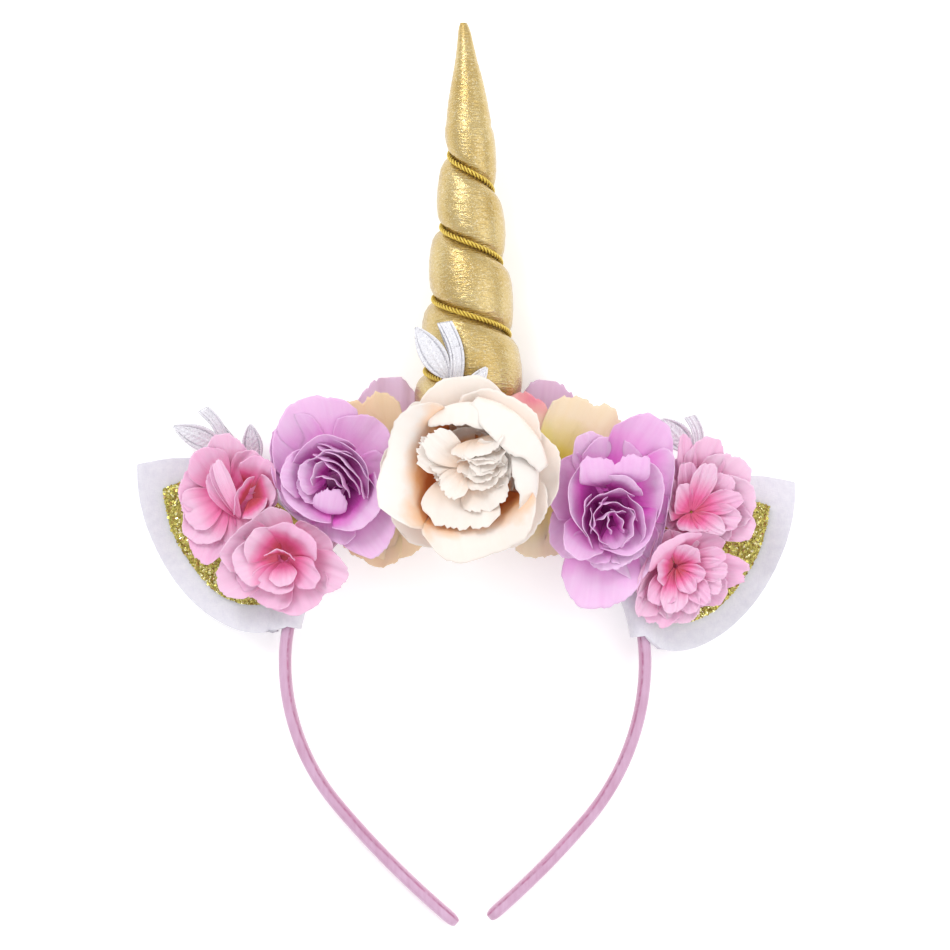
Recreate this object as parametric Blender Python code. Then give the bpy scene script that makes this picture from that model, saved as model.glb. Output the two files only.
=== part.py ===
"""Unicorn horn headband, lying on its back as it rests on a table.

The shape is worked out in the headband's own frame, in metres: x across the head, y from the arm ends
towards the horn's tip, z towards the front of the flowers. Its origin is the centre of the band's crown
arc. A parent empty then tips that frame back by the angle at which the horn and the arm ends both touch
the table, and moves it so that the table is at z = 0 and the part stands over the origin.
"""

import math

import bmesh
import bpy
import numpy as np
from mathutils import Matrix, Vector

CLEARANCE = 0.0003

# Band: a flat springy hoop wrapped in satin ribbon
BAND_RADIUS = 0.063
BAND_WIDTH = 0.008
BAND_THICKNESS = 0.0044
BAND_CROWN_STEPS = 17
BAND_ARM_STEPS = 7
BAND_SIDES = 10
BAND_TIP_LENGTH = 0.004
# Each arm curves in by two arcs: side, radius and turn of the first, radius and turn of the second
BAND_ARMS = (
    {"side": 1, "hip_radius": 0.085, "hip_turn": 37.0, "tail_radius": 0.30, "tail_turn": 9.5},
    {"side": -1, "hip_radius": 0.077, "hip_turn": 37.0, "tail_radius": 0.25, "tail_turn": 13.2},
)

# Horn: a stuffed cloth cone pinched by a spiral cord
HORN_LENGTH = 0.158
HORN_TIP_RADIUS = 0.0025
HORN_TAPER = 0.1146
HORN_BODY_LENGTH = 0.128
HORN_FORWARD = 0.0015
HORN_SIDEWAYS = 0.0015
HORN_TIP_LEAN = 0.0020
HORN_BACK_FLAT = 0.0022
HORN_PITCH = 0.0252
HORN_FIRST_GROOVE = 0.046
HORN_PAD = 0.0019
HORN_SIDES = 17
# Rows of one turn: place between two grooves and how much of the pad stands there
HORN_ROWS = ((0.06, None), (0.17, 0.8), (0.45, 1.0), (0.72, 0.6), (0.85, 0.25), (0.94, None))
# The smooth point above the cord: distance below the tip and radius
HORN_POINT = ((0.0, 0.0010), (0.003, 0.0018), (0.0135, 0.0037), (0.027, 0.0067), (0.038, 0.0084), (0.060, 0.0100))
HORN_FOOT_ROUNDING = 0.008
HORN_CORD_DIAMETER = 0.0020
HORN_CORD_SIDES = 5
HORN_CORD_START_TURN = -0.25
HORN_CORD_END_TURN = 3.95

# Ears: felt quarter discs. Their base is a cuff round the band, and they droop to the table
FELT = 0.0020
CUFF_CLEARANCE = 0.0004
EAR_RADIUS = 0.0581
EAR_DROOP_SPAN = 0.045
EAR_TABLE_GAP = 0.0006
EAR_ROWS = 4
# side, middle of the quarter disc, and where the cuff starts and ends on the crown, in degrees from +X
EARS = (
    {"name": "left", "side": -1, "middle": (-0.05775, 0.0707), "cuff": (168.5, 140.0)},
    {"name": "right", "side": 1, "middle": (0.05845, 0.0644), "cuff": (8.5, 38.0)},
)
# Outlines from beside the cuff's foot round to the tip and back along the top: degrees below level from the
# quarter disc's middle, and share of its radius
EAR_OUTLINE = (
    (81.0, 1.040), (76.0, 1.075), (69.0, 1.092), (60.0, 1.087), (50.0, 1.070), (40.0, 1.050),
    (29.0, 1.030), (16.0, 1.015), (1.5, 1.000), (-0.8, 0.80), (-1.5, 0.55), (-2.0, 0.30),
)
GLITTER_OUTLINE = (
    (79.0, 0.885), (73.0, 0.920), (66.0, 0.940), (57.5, 0.940), (49.0, 0.925), (39.0, 0.905),
    (29.0, 0.893), (19.0, 0.870), (11.5, 0.858), (10.0, 0.71), (8.0, 0.52), (6.0, 0.38),
)
GLITTER = 0.0010
GLITTER_FROM_BAND = 0.0065

# Petals and leaves are cloth, drawn 1 mm thick
PETAL = 0.0010

SATIN_PINK = (0.80, 0.42, 0.55)
LAME_GOLD = (0.80, 0.64, 0.30)
CORD_GOLD = (0.78, 0.52, 0.05)
FELT_WHITE = (0.86, 0.85, 0.90)
GLITTER_GOLD = (0.72, 0.60, 0.18)
CREAM = (0.93, 0.82, 0.76)
LILAC = (0.74, 0.46, 0.78)
PINK = (0.88, 0.48, 0.62)
PEACH = (0.92, 0.74, 0.58)
PALE_LILAC = (0.76, 0.60, 0.78)
SILVER = (0.78, 0.78, 0.82)


def clear_scene():
    for old in list(bpy.data.objects):
        bpy.data.objects.remove(old, do_unlink=True)


def material(name, colour, roughness=0.6, metallic=0.0):
    made = bpy.data.materials.new(name)
    made.use_nodes = True
    shader = made.node_tree.nodes["Principled BSDF"]
    shader.inputs["Base Color"].default_value = (*colour, 1.0)
    shader.inputs["Roughness"].default_value = roughness
    shader.inputs["Metallic"].default_value = metallic
    return made


def new_object(name, mesh, parent, finish=None):
    made = bpy.data.objects.new(name, mesh)
    bpy.context.scene.collection.objects.link(made)
    made.parent = parent
    if finish is not None:
        mesh.materials.append(finish)
    return made


def mesh_from(name, points, faces, triangles=False):
    """A mesh with its doubles merged and its faces turned outwards. With triangles set, its quads are all
    split the same way, so that a thicker copy keeps an even distance."""
    shape = bmesh.new()
    corners = [shape.verts.new(Vector(p)) for p in points]
    for face in faces:
        if len(set(face)) > 2:
            shape.faces.new([corners[i] for i in face])
    bmesh.ops.remove_doubles(shape, verts=shape.verts, dist=0.00002)
    bmesh.ops.dissolve_degenerate(shape, edges=shape.edges, dist=0.00001)
    if triangles:
        bmesh.ops.triangulate(shape, faces=shape.faces, quad_method="FIXED")
    bmesh.ops.recalc_face_normals(shape, faces=shape.faces)
    made = bpy.data.meshes.new(name)
    shape.to_mesh(made)
    shape.free()
    return made


def tube_mesh(name, rings):
    """Closed tube through rings of equal point counts, with a fan on each end."""
    rings = np.asarray(rings)
    count, sides = rings.shape[:2]
    points = rings.reshape(-1, 3).tolist()
    faces = []
    for i in range(count - 1):
        for j in range(sides):
            k = (j + 1) % sides
            faces.append((i * sides + j, i * sides + k, (i + 1) * sides + k, (i + 1) * sides + j))
    faces.append(tuple(range(sides)))
    faces.append(tuple(reversed(range((count - 1) * sides, count * sides))))
    return mesh_from(name, points, faces)


def sheet_mesh(name, grid, thickness):
    """A sheet of cloth: the grid's points moved half a thickness each way along its normals, sewn all round."""
    grid = np.asarray(grid, float)
    along, across = np.gradient(grid, axis=0), np.gradient(grid, axis=1)
    normal = np.cross(along, across)
    normal /= np.maximum(np.linalg.norm(normal, axis=2, keepdims=True), 1e-12)
    rows, columns = grid.shape[:2]
    layers = (grid + normal * thickness / 2, grid - normal * thickness / 2)
    points = np.concatenate([layer.reshape(-1, 3) for layer in layers]).tolist()
    shift = rows * columns
    faces = []
    for i in range(rows - 1):
        for j in range(columns - 1):
            a = i * columns + j
            top = (a, a + 1, a + columns + 1, a + columns)
            faces.append(top)
            faces.append(tuple(reversed([v + shift for v in top])))
    rim = [j for j in range(columns)]
    rim += [i * columns + columns - 1 for i in range(1, rows)]
    rim += [(rows - 1) * columns + j for j in range(columns - 2, -1, -1)]
    rim += [i * columns for i in range(rows - 2, 0, -1)]
    for a, b in zip(rim, rim[1:] + rim[:1]):
        faces.append((b, a, a + shift, b + shift))
    return mesh_from(name, points, faces, triangles=True)


def combine(body, operation, others):
    """Booleans on body, one for each other shape, which is then a hidden helper. EXACT loses these thin,
    touching petals, so the MANIFOLD solver does it."""
    for other in others:
        step = body.modifiers.new(operation.lower(), "BOOLEAN")
        step.solver = "MANIFOLD"
        step.operation = operation
        step.object = other
        other.hide_render = True
        other.display_type = "WIRE"


# Band


def arm_path(arm):
    """Points and headings down one arm, from the crown arc's end, turning in by its two arcs."""
    hip_length = arm["hip_radius"] * math.radians(arm["hip_turn"])
    tail_length = arm["tail_radius"] * math.radians(arm["tail_turn"])
    x, y, heading = BAND_RADIUS, 0.0, 0.0
    step = (hip_length + tail_length) / BAND_ARM_STEPS
    points = [(x, y, heading)]
    for i in range(BAND_ARM_STEPS):
        radius = arm["hip_radius"] if (i + 0.5) * step < hip_length else arm["tail_radius"]
        turned = heading + step / radius
        middle = (heading + turned) / 2
        x -= math.sin(middle) * step
        y -= math.cos(middle) * step
        heading = turned
        points.append((x, y, heading))
    return points


def band_stations():
    """(x, y, outward direction) from the left arm's end over the crown to the right arm's end."""
    stations = []
    for arm in BAND_ARMS:
        side = arm["side"]
        arm_points = [
            (side * x, y, (side * math.cos(turn), -math.sin(turn))) for x, y, turn in arm_path(arm)
        ]
        stations.append(arm_points)
    right, left = stations
    crown = []
    for i in range(1, BAND_CROWN_STEPS):
        angle = math.pi * (1 - i / BAND_CROWN_STEPS)
        out = (math.cos(angle), math.sin(angle))
        crown.append((BAND_RADIUS * out[0], BAND_RADIUS * out[1], out))
    return left[::-1] + crown + right


def band_section(width, thickness):
    """Points round a flat strip with rounded edges: (outward, forward) offsets. A face looks straight in."""
    points = []
    roundness = 0.7
    for j in range(BAND_SIDES):
        angle = 2 * math.pi * (j + 0.5) / BAND_SIDES
        c, s = math.cos(angle), math.sin(angle)
        points.append(
            (
                math.copysign(abs(c) ** roundness, c) * thickness / 2,
                math.copysign(abs(s) ** roundness, s) * width / 2,
            )
        )
    return points


def band_ring(x, y, out, width, thickness):
    return [
        (x + out[0] * a, y + out[1] * a, b) for a, b in band_section(width, thickness)
    ]


def build_band(parent):
    stations = band_stations()
    rings = [band_ring(x, y, out, BAND_WIDTH, BAND_THICKNESS) for x, y, out in stations]
    for first, last in ((0, 1), (-1, -2)):
        x, y, out = stations[first]
        towards = Vector((x, y)) - Vector(stations[last][:2])
        towards.normalize()
        extra = []
        for share, fullness in ((0.55, 0.8), (0.9, 0.5), (1.0, 0.25)):
            end = Vector((x, y)) + towards * BAND_TIP_LENGTH * share
            extra.append(
                band_ring(end.x, end.y, out, BAND_WIDTH * fullness, BAND_THICKNESS * (0.4 + 0.6 * fullness))
            )
        rings = extra[::-1] + rings if first == 0 else rings + extra
    mesh = tube_mesh("headband", rings)
    return new_object("headband", mesh, parent, material("satin", SATIN_PINK, 0.35))


def band_point(angle, outward=0.0, forward=0.0):
    """A point on the crown arc at this angle in degrees from +X."""
    radius = BAND_RADIUS + outward
    return Vector(
        (radius * math.cos(math.radians(angle)), radius * math.sin(math.radians(angle)), forward)
    )


# Horn and its cord


def horn_base_height():
    return BAND_RADIUS + BAND_THICKNESS / 2 + CLEARANCE


def horn_groove_radius(depth):
    """Radius over the cord at this distance below the tip. Below the body the foot runs straight."""
    return HORN_TIP_RADIUS + HORN_TAPER * min(depth, HORN_BODY_LENGTH)


def horn_widest():
    return horn_groove_radius(HORN_LENGTH) + HORN_PAD


def rest_tilt():
    """The angle at which the horn's flattened back and the arm ends touch one plane."""
    back = horn_widest() - HORN_FORWARD - HORN_BACK_FLAT
    lowest_arm = min(arm_path(arm)[-1][1] for arm in BAND_ARMS)
    run = horn_base_height() + HORN_FOOT_ROUNDING - lowest_arm
    return math.atan2(back - BAND_WIDTH / 2, run)


def table_height(y):
    """Height of the table in the headband's own frame."""
    back = horn_widest() - HORN_FORWARD - HORN_BACK_FLAT
    return -back - (y - horn_base_height() - HORN_FOOT_ROUNDING) * math.tan(rest_tilt())


def horn_axis(depth):
    """The cone's middle line: sideways place and forward place. The point leans a little to the left."""
    return HORN_SIDEWAYS - HORN_TIP_LEAN * math.exp(-depth / 0.02), HORN_FORWARD


def horn_radius(depth, turn, pad):
    """Cloth radius: a smooth point above the cord, then pads that swell between the cord's turns."""
    over_cord = horn_groove_radius(depth)
    if pad is None:
        wound = over_cord - HORN_CORD_DIAMETER - 1.2 * CLEARANCE
    else:
        wound = over_cord + HORN_PAD * pad
    depths, radii = zip(*HORN_POINT)
    smooth = float(np.interp(depth, depths, radii))
    share = min(1.0, max(0.0, (turn - HORN_CORD_START_TURN + 0.20) / 0.12))
    return smooth + (wound - smooth) * share


def horn_foot_share(depth):
    """The seam round the foot draws the cloth in over the last few millimetres."""
    left = min(1.0, max(0.0, (HORN_LENGTH - depth) / HORN_FOOT_ROUNDING))
    return 0.80 + 0.20 * math.sqrt(1 - (1 - left) ** 2)


def horn_point(depth, angle, radius):
    """A point of the cloth, pressed flat where it lies on the table."""
    across, forward = horn_axis(depth)
    x = across + radius * math.cos(angle)
    z = forward + radius * math.sin(angle)
    y = horn_base_height() + HORN_LENGTH - depth
    z = max(z, table_height(y))
    return (x, y, z)


def groove_depth(turn):
    """Distance below the tip of the cord after this many turns, counted from the left side."""
    return HORN_FIRST_GROOVE + HORN_PITCH * turn


def build_horn(parent):
    """Rows follow the spiral, so that a row lies on each side of the cord all the way down."""
    first = -math.ceil(HORN_FIRST_GROOVE / HORN_PITCH + 1)
    last = math.ceil((HORN_LENGTH - HORN_FIRST_GROOVE) / HORN_PITCH)
    merge = 0.0012
    points = []
    for whole in range(first, last + 1):
        for phase, pad in HORN_ROWS:
            for j in range(HORN_SIDES + 1):
                turn = whole + phase + j / HORN_SIDES
                depth = groove_depth(turn)
                if depth < merge:
                    depth = 0.0
                if depth > HORN_LENGTH - merge:
                    depth = HORN_LENGTH
                angle = math.pi - 2 * math.pi * j / HORN_SIDES
                at_end = depth in (0.0, HORN_LENGTH)
                radius = horn_radius(depth, turn, 0.5 if at_end else pad) * horn_foot_share(depth)
                points.append(horn_point(depth, angle, radius))
    width = HORN_SIDES + 1
    rows = len(points) // width
    faces = []
    for i in range(rows - 1):
        for j in range(HORN_SIDES):
            a = i * width + j
            faces.append((a, a + 1, a + width + 1, a + width))
    mesh = welded_cone("horn", points, faces)
    return new_object("horn", mesh, parent, material("lame", LAME_GOLD, 0.3, 0.9))


def welded_cone(name, points, faces):
    """Welds the spiral rows into a cone and fills its two ends."""
    shape = bmesh.new()
    corners = [shape.verts.new(Vector(p)) for p in points]
    for face in faces:
        if len({tuple(points[i]) for i in face}) > 2:
            shape.faces.new([corners[i] for i in face])
    bmesh.ops.remove_doubles(shape, verts=shape.verts, dist=0.00005)
    bmesh.ops.delete(shape, geom=[v for v in shape.verts if not v.link_faces], context="VERTS")
    bmesh.ops.holes_fill(shape, edges=[e for e in shape.edges if e.is_boundary])
    bmesh.ops.recalc_face_normals(shape, faces=shape.faces)
    made = bpy.data.meshes.new(name)
    shape.to_mesh(made)
    shape.free()
    return made


def build_horn_cord(parent):
    """The cord's section turns with the spiral, and starts and ends behind."""
    radius = HORN_CORD_DIAMETER / 2
    steps = round((HORN_CORD_END_TURN - HORN_CORD_START_TURN) * HORN_SIDES)
    rings = []
    for i in range(steps + 1):
        turn = HORN_CORD_START_TURN + i / HORN_SIDES
        depth = groove_depth(turn)
        across, forward = horn_axis(depth)
        angle = math.pi - 2 * math.pi * turn
        seat = horn_groove_radius(depth) - radius
        ring = []
        for k in range(HORN_CORD_SIDES):
            around = 2 * math.pi * (k + 0.5) / HORN_CORD_SIDES
            reach = seat + radius * math.cos(around)
            x = across + reach * math.cos(angle)
            z = forward + reach * math.sin(angle)
            y = horn_base_height() + HORN_LENGTH - depth + radius * math.sin(around)
            ring.append((x, y, z))
        rings.append(ring)
    mesh = tube_mesh("horn_cord", rings)
    return new_object("horn_cord", mesh, parent, material("cord", CORD_GOLD, 0.35, 0.8))


# Ears


def ear_height(x, y):
    """The felt leaves the band level and droops until it lies along the table."""
    reach = (math.hypot(x, y) - BAND_RADIUS - BAND_THICKNESS) / EAR_DROOP_SPAN
    reach = min(1.0, max(0.0, reach))
    eased = reach * reach * (3 - 2 * reach)
    return (table_height(y) + FELT / 2 + EAR_TABLE_GAP) * eased


def ear_grid(ear, outline, from_band, lift):
    """Rows run from beside the band out to the outline, in the height of the felt's middle plus lift."""
    middle, side = ear["middle"], ear["side"]
    first, last = ear["cuff"]
    count = len(outline)
    grid = np.zeros((EAR_ROWS + 1, count, 3))
    for j, (down, share) in enumerate(outline):
        turn = math.radians(down)
        reach = EAR_RADIUS * share
        outer = Vector((middle[0] + side * reach * math.cos(turn), middle[1] - reach * math.sin(turn)))
        inner = band_point(first + (last - first) * j / (count - 1), from_band).xy
        for i in range(EAR_ROWS + 1):
            spot = inner.lerp(outer, i / EAR_ROWS)
            grid[i, j] = (spot.x, spot.y, ear_height(spot.x, spot.y) + lift)
    return grid


def felt_grid(ear):
    return ear_grid(ear, EAR_OUTLINE, BAND_THICKNESS / 2 + FELT * 0.7, 0.0)


def glitter_grid(ear):
    return ear_grid(ear, GLITTER_OUTLINE, GLITTER_FROM_BAND, FELT / 2 + 3.2 * CLEARANCE + GLITTER / 2)


def cuff_mesh(name, ear, clearance, felt):
    """A sleeve of felt round the band: rings of its outer and inner faces, joined at both ends."""
    first, last = ear["cuff"]
    steps = 5
    rings = []
    for i in range(steps + 1):
        angle = math.radians(first + (last - first) * i / steps)
        out = (math.cos(angle), math.sin(angle))
        spot = (BAND_RADIUS * out[0], BAND_RADIUS * out[1], out)
        gap = 2 * clearance
        rings.append(
            band_ring(*spot, BAND_WIDTH + gap + 2 * felt, BAND_THICKNESS + gap + 2 * felt)
            + band_ring(*spot, BAND_WIDTH + gap, BAND_THICKNESS + gap)
        )
    sides = BAND_SIDES
    points = [point for ring in rings for point in ring]
    faces = []
    for i in range(steps):
        for layer in (0, sides):
            for j in range(sides):
                a = i * 2 * sides + layer + j
                b = i * 2 * sides + layer + (j + 1) % sides
                faces.append((a, b, b + 2 * sides, a + 2 * sides))
    for i in (0, steps):
        for j in range(sides):
            a = i * 2 * sides + j
            b = i * 2 * sides + (j + 1) % sides
            faces.append((a, b, b + sides, a + sides))
    return mesh_from(name, points, faces)


def build_ear(parent, ear, felt, glitter, shapes):
    """The cuff with the drooping sheet fused to it, and the glitter sheet lying on that."""
    name = ear["name"]
    body = new_object(f"ear_{name}", cuff_mesh(f"ear_{name}", ear, CUFF_CLEARANCE, FELT), parent, felt)
    sheet = sheet_mesh(f"ear_{name}_sheet", felt_grid(ear), FELT)
    combine(body, "UNION", [new_object(f"ear_{name}_sheet", sheet, parent)])
    combine(body, "DIFFERENCE", [shapes["band"]])
    mesh = sheet_mesh(f"ear_glitter_{name}", glitter_grid(ear), GLITTER)
    layer = new_object(f"ear_glitter_{name}", mesh, parent, glitter)
    combine(layer, "DIFFERENCE", [shapes[f"felt_{name}"], shapes[f"cuff_{name}"]])


# Petals


def petal_grid(petal):
    """A petal as a grid. Its middle line leaves the flower's axis at angle_in and ends at angle_out, both
    counted from the axis; across it, the cloth follows a circle round the axis by the share wrap, its edges
    lift by cup and it waves by ruffle."""
    length, half = petal["length"], petal["half"]
    rows, columns = petal.get("rows", 3), petal.get("columns", 3)
    fine = 40
    t = np.linspace(0, 1, fine)
    lean_in, lean_out = math.radians(petal["angle_in"]), math.radians(petal["angle_out"])
    lean = lean_in + (lean_out - lean_in) * t ** petal.get("curl", 1.3)
    step = length / (fine - 1)
    r = petal["r0"] + np.concatenate([[0], np.cumsum(np.sin((lean[1:] + lean[:-1]) / 2) * step)])
    h = petal["h0"] + np.concatenate([[0], np.cumsum(np.cos((lean[1:] + lean[:-1]) / 2) * step)])
    across = np.linspace(-1, 1, columns + 1)
    grid = np.zeros((rows + 1, columns + 1, 3))
    azimuth = math.radians(petal["azimuth"])
    wrap = petal.get("wrap", 0.0)
    for i in range(rows + 1):
        for j, s in enumerate(across):
            where = i / rows * (1 - 0.16 * s * s * (i / rows))
            radius, height = np.interp(where, t, r), np.interp(where, t, h)
            tilt = np.interp(where, t, lean)
            half_here = half * math.sqrt(math.sin(math.pi * (0.08 + 0.84 * where**1.5)))
            x = s * half_here
            lift = petal.get("cup", 0.0) * s * s * where
            lift += petal.get("ruffle", 0.0) * math.sin(petal.get("waves", 1.5) * math.pi * s + 1.0) * where**2
            radius_moved = radius - lift * math.cos(tilt)
            height_moved = height + lift * math.sin(tilt)
            around = x / max(radius_moved, 0.6 * half)
            flat = (radius_moved * math.cos(azimuth) - x * math.sin(azimuth),
                    radius_moved * math.sin(azimuth) + x * math.cos(azimuth))
            ring = (radius_moved * math.cos(azimuth + around), radius_moved * math.sin(azimuth + around))
            grid[i, j] = (
                flat[0] + (ring[0] - flat[0]) * wrap,
                flat[1] + (ring[1] - flat[1]) * wrap,
                height_moved,
            )
    return grid


def even_petals(count, first):
    return [(first + 360.0 * i / count, 1.0) for i in range(count)]


def petal_stations(table, per_petal):
    """Azimuth, reach share and nearness to a petal's edge (0 its middle, 1 its edge) round a tier."""
    ordered = sorted((azimuth % 360, share) for azimuth, share in table)
    stations = []
    for i, (azimuth, share) in enumerate(ordered):
        ahead, ahead_share = ordered[(i + 1) % len(ordered)]
        if ahead <= azimuth:
            ahead += 360
        for k in range(per_petal):
            way = k / per_petal
            stations.append(
                (azimuth + (ahead - azimuth) * way, share + (ahead_share - share) * way, 1 - abs(2 * way - 1))
            )
    return stations


def tier_mesh(name, tier):
    """One ring of petals as a bowl of cloth. Its profile leaves the axis at angle_in and ends at angle_out;
    the rim is notched between petals, where the cloth also dips by dip."""
    rows, fine = tier.get("rows", 3), 40
    t = np.linspace(0, 1, fine)
    lean = np.radians(tier["angle_in"] + (tier["angle_out"] - tier["angle_in"]) * t ** tier.get("curl", 1.3))
    middle = (lean[1:] + lean[:-1]) / 2
    outward = np.concatenate([[0], np.cumsum(np.sin(middle)) / (fine - 1)])
    upward = np.concatenate([[0], np.cumsum(np.cos(middle)) / (fine - 1)])
    stations = petal_stations(tier["petals"], tier["per_petal"])
    grid = np.zeros((rows + 1, len(stations), 3))
    for i in range(rows + 1):
        for j, (azimuth, share, edge) in enumerate(stations):
            where = i / rows * (1 - tier["notch"] * edge * edge)
            length = tier["length"] * share
            r = tier["r0"] + length * np.interp(where, t, outward)
            h = tier["h0"] + length * np.interp(where, t, upward) - tier["dip"] * edge * where
            turn = math.radians(azimuth + tier.get("swirl", 0) * where)
            grid[i, j] = (r * math.cos(turn), r * math.sin(turn), h)
    up = np.gradient(grid, axis=0)
    around = np.roll(grid, -1, axis=1) - np.roll(grid, 1, axis=1)
    normal = np.cross(around, up)
    normal /= np.linalg.norm(normal, axis=2, keepdims=True)
    points = np.concatenate(
        [(grid + normal * PETAL / 2).reshape(-1, 3), (grid - normal * PETAL / 2).reshape(-1, 3)]
    )
    width, shift = len(stations), grid.shape[0] * grid.shape[1]
    faces = []
    for j in range(width):
        k = (j + 1) % width
        for i in range(rows):
            quad = (i * width + j, i * width + k, (i + 1) * width + k, (i + 1) * width + j)
            faces.append(quad)
            faces.append(tuple(v + shift for v in reversed(quad)))
        for i in (0, rows):
            a, b = i * width + j, i * width + k
            faces.append((a, b, b + shift, a + shift))
    return mesh_from(name, points.tolist(), faces)


def core_mesh(name, flower, place):
    """The bud's foot: a stalk from its seat to below the hub, then a flare and a low dome along its axis."""
    seat, hub = Vector(flower["seat"]), place.translation
    axis = (place.to_3x3() @ Vector((0, 0, 1))).normalized()
    under = Vector(flower.get("under", hub - axis * 0.0006))
    stalk = (under - seat).normalized()
    radius, wide, top = flower["seat_radius"], flower["hub_radius"], flower["top"]
    sides = flower.get("sides", 8)
    levels = (
        (seat, radius, stalk),
        (under, radius, stalk),
        (hub + axis * 0.0008, wide, axis),
        (hub + axis * top * 0.6, wide * 0.8, axis),
        (hub + axis * top, wide * 0.3, axis),
    )
    rings = []
    for centre, size, facing in levels:
        turn = Vector((0, 0, 1)).rotation_difference(facing).to_matrix()
        ring = []
        for k in range(sides):
            angle = 2 * math.pi * (k + 0.5) / sides
            ring.append(tuple(centre + turn @ Vector((size * math.cos(angle), size * math.sin(angle), 0))))
        rings.append(ring)
    return tube_mesh(name, rings)


def tilted(axis):
    """Turns a flower's own +Z to its axis, keeping azimuths as seen from the front."""
    return Vector((0, 0, 1)).rotation_difference(Vector(axis)).to_matrix().to_4x4()


def build_flower(name, parent, finish, flower, walls, keep_out):
    """One blossom: its foot with its tiers and petals fused to it, kept off its neighbours and off what
    carries it."""
    hub = Vector(flower["hub"])
    place = Matrix.Translation(hub) @ tilted(flower.get("axis", (0, 0, 1)))
    body = new_object(name, core_mesh(name, flower, place), parent, finish)
    shapes = []
    for i, tier in enumerate(flower.get("tiers", ())):
        mesh = tier_mesh(f"{name}_tier_{i}", tier)
        mesh.transform(place)
        shapes.append(new_object(f"{name}_tier_{i}", mesh, parent))
    for i, petal in enumerate(flower.get("petals", ())):
        mesh = sheet_mesh(f"{name}_petal_{i}", petal_grid(petal), PETAL)
        mesh.transform(place)
        shapes.append(new_object(f"{name}_petal_{i}", mesh, parent))
    combine(body, "UNION", shapes)
    if walls:
        combine(body, "INTERSECT", [cell_object(f"{name}_cell", parent, hub, walls)])
    combine(body, "DIFFERENCE", keep_out)
    return body


def cell_object(name, parent, inside, walls):
    """A block round a blossom, cut off at each wall: (point, direction away from the blossom)."""
    shape = bmesh.new()
    bmesh.ops.create_cube(shape, size=0.3, matrix=Matrix.Translation(inside))
    for point, away in walls:
        geometry = shape.verts[:] + shape.edges[:] + shape.faces[:]
        cut = bmesh.ops.bisect_plane(
            shape, geom=geometry, plane_co=Vector(point), plane_no=Vector(away), clear_outer=True
        )
        edges = [e for e in cut["geom_cut"] if isinstance(e, bmesh.types.BMEdge)]
        bmesh.ops.holes_fill(shape, edges=edges)
    bmesh.ops.recalc_face_normals(shape, faces=shape.faces)
    mesh = bpy.data.meshes.new(name)
    shape.to_mesh(mesh)
    shape.free()
    return new_object(name, mesh, parent)


# Blossoms. Each row of an outer table is a petal: azimuth and share of the blossom's reach

CREAM_REACH = 0.031
CREAM_OUTER = ((94, 1.02), (52, 0.94), (0, 1.03), (-50, 0.94), (-90, 1.03), (-138, 0.96), (187, 1.03), (142, 0.92))
LILAC_LEFT_REACH = 0.026
LILAC_LEFT_OUTER = ((130, 1.08), (82, 0.98), (30, 0.92), (-25, 0.95), (-78, 1.02), (-128, 1.0), (180, 0.95))
LILAC_RIGHT_REACH = 0.028
LILAC_RIGHT_OUTER = ((95, 0.98), (45, 1.0), (-3, 1.0), (-50, 1.0), (-98, 1.26), (-140, 0.85), (162, 0.76))
PINK_REACH = 0.0205
PEACH_REACH = 0.037
PALE_LILAC_REACH = 0.030
ROSE_STALK = 0.0055
BLOOM_STALK = 0.0035
SUNK = 0.0015


def on_band(angle, forward):
    spot = band_point(angle)
    return (spot.x, spot.y, forward)


def rose(seat, hub, reach, outer, axis, scale, cup_first, under):
    """A rose: laid-open outer petals, a cup, and a furled heart. Scale sets the cup's and heart's size."""
    tiers = (
        dict(petals=outer, per_petal=4, length=reach * 0.93, r0=0.003, h0=0.0010,
             angle_in=88, angle_out=62, notch=0.16, dip=0.0020, rows=2),
        dict(petals=even_petals(4, cup_first), per_petal=4, length=0.0265 * scale, r0=0.005 * scale, h0=0.0026,
             angle_in=74, angle_out=18, curl=1.0, notch=0.14, dip=-0.0008, swirl=14,
             rows=3 if scale == 1.0 else 2),
        dict(petals=even_petals(4, cup_first + 40), per_petal=2, length=0.0185 * scale, r0=0.004 * scale,
             h0=0.0050, angle_in=48, angle_out=2, notch=0.12, dip=0.0, rows=2, swirl=20),
    )
    return {"seat": seat, "seat_radius": ROSE_STALK, "hub": hub, "hub_radius": 0.0085 * scale,
            "top": 0.017 * scale, "axis": axis, "tiers": tiers, "under": under}


def bloom(seat, hub, reach, axis, first):
    """A small full blossom: six open petals round four that stand."""
    tiers = (
        dict(petals=even_petals(6, first), per_petal=2, length=reach * 0.98, r0=0.002, h0=0.0012,
             angle_in=82, angle_out=38, notch=0.16, dip=-0.0006, rows=2, swirl=8),
        dict(petals=even_petals(4, first + 25), per_petal=2, length=reach * 0.74, r0=0.0022, h0=0.0030,
             angle_in=54, angle_out=8, notch=0.20, dip=0.0006, rows=2, swirl=15),
    )
    return {"seat": seat, "seat_radius": BLOOM_STALK, "hub": hub, "hub_radius": 0.0050, "top": 0.008,
            "axis": axis, "tiers": tiers, "sides": 7}


def open_blossom(seat, hub, reach, table, axis, angle_out):
    """A flat blossom seen behind the roses: only the petals that reach out from under them."""
    petals = [
        dict(azimuth=azimuth, length=reach * share / 0.96, half=reach * 0.32, r0=0.001, h0=0.0006,
             angle_in=86, angle_out=angle_out, cup=0.0015, ruffle=0.0012, columns=2, rows=2)
        for azimuth, share in table
    ]
    return {"seat": seat, "seat_radius": BLOOM_STALK, "hub": hub, "hub_radius": 0.0045, "top": 0.003,
            "axis": axis, "petals": petals, "sides": 6}


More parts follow.
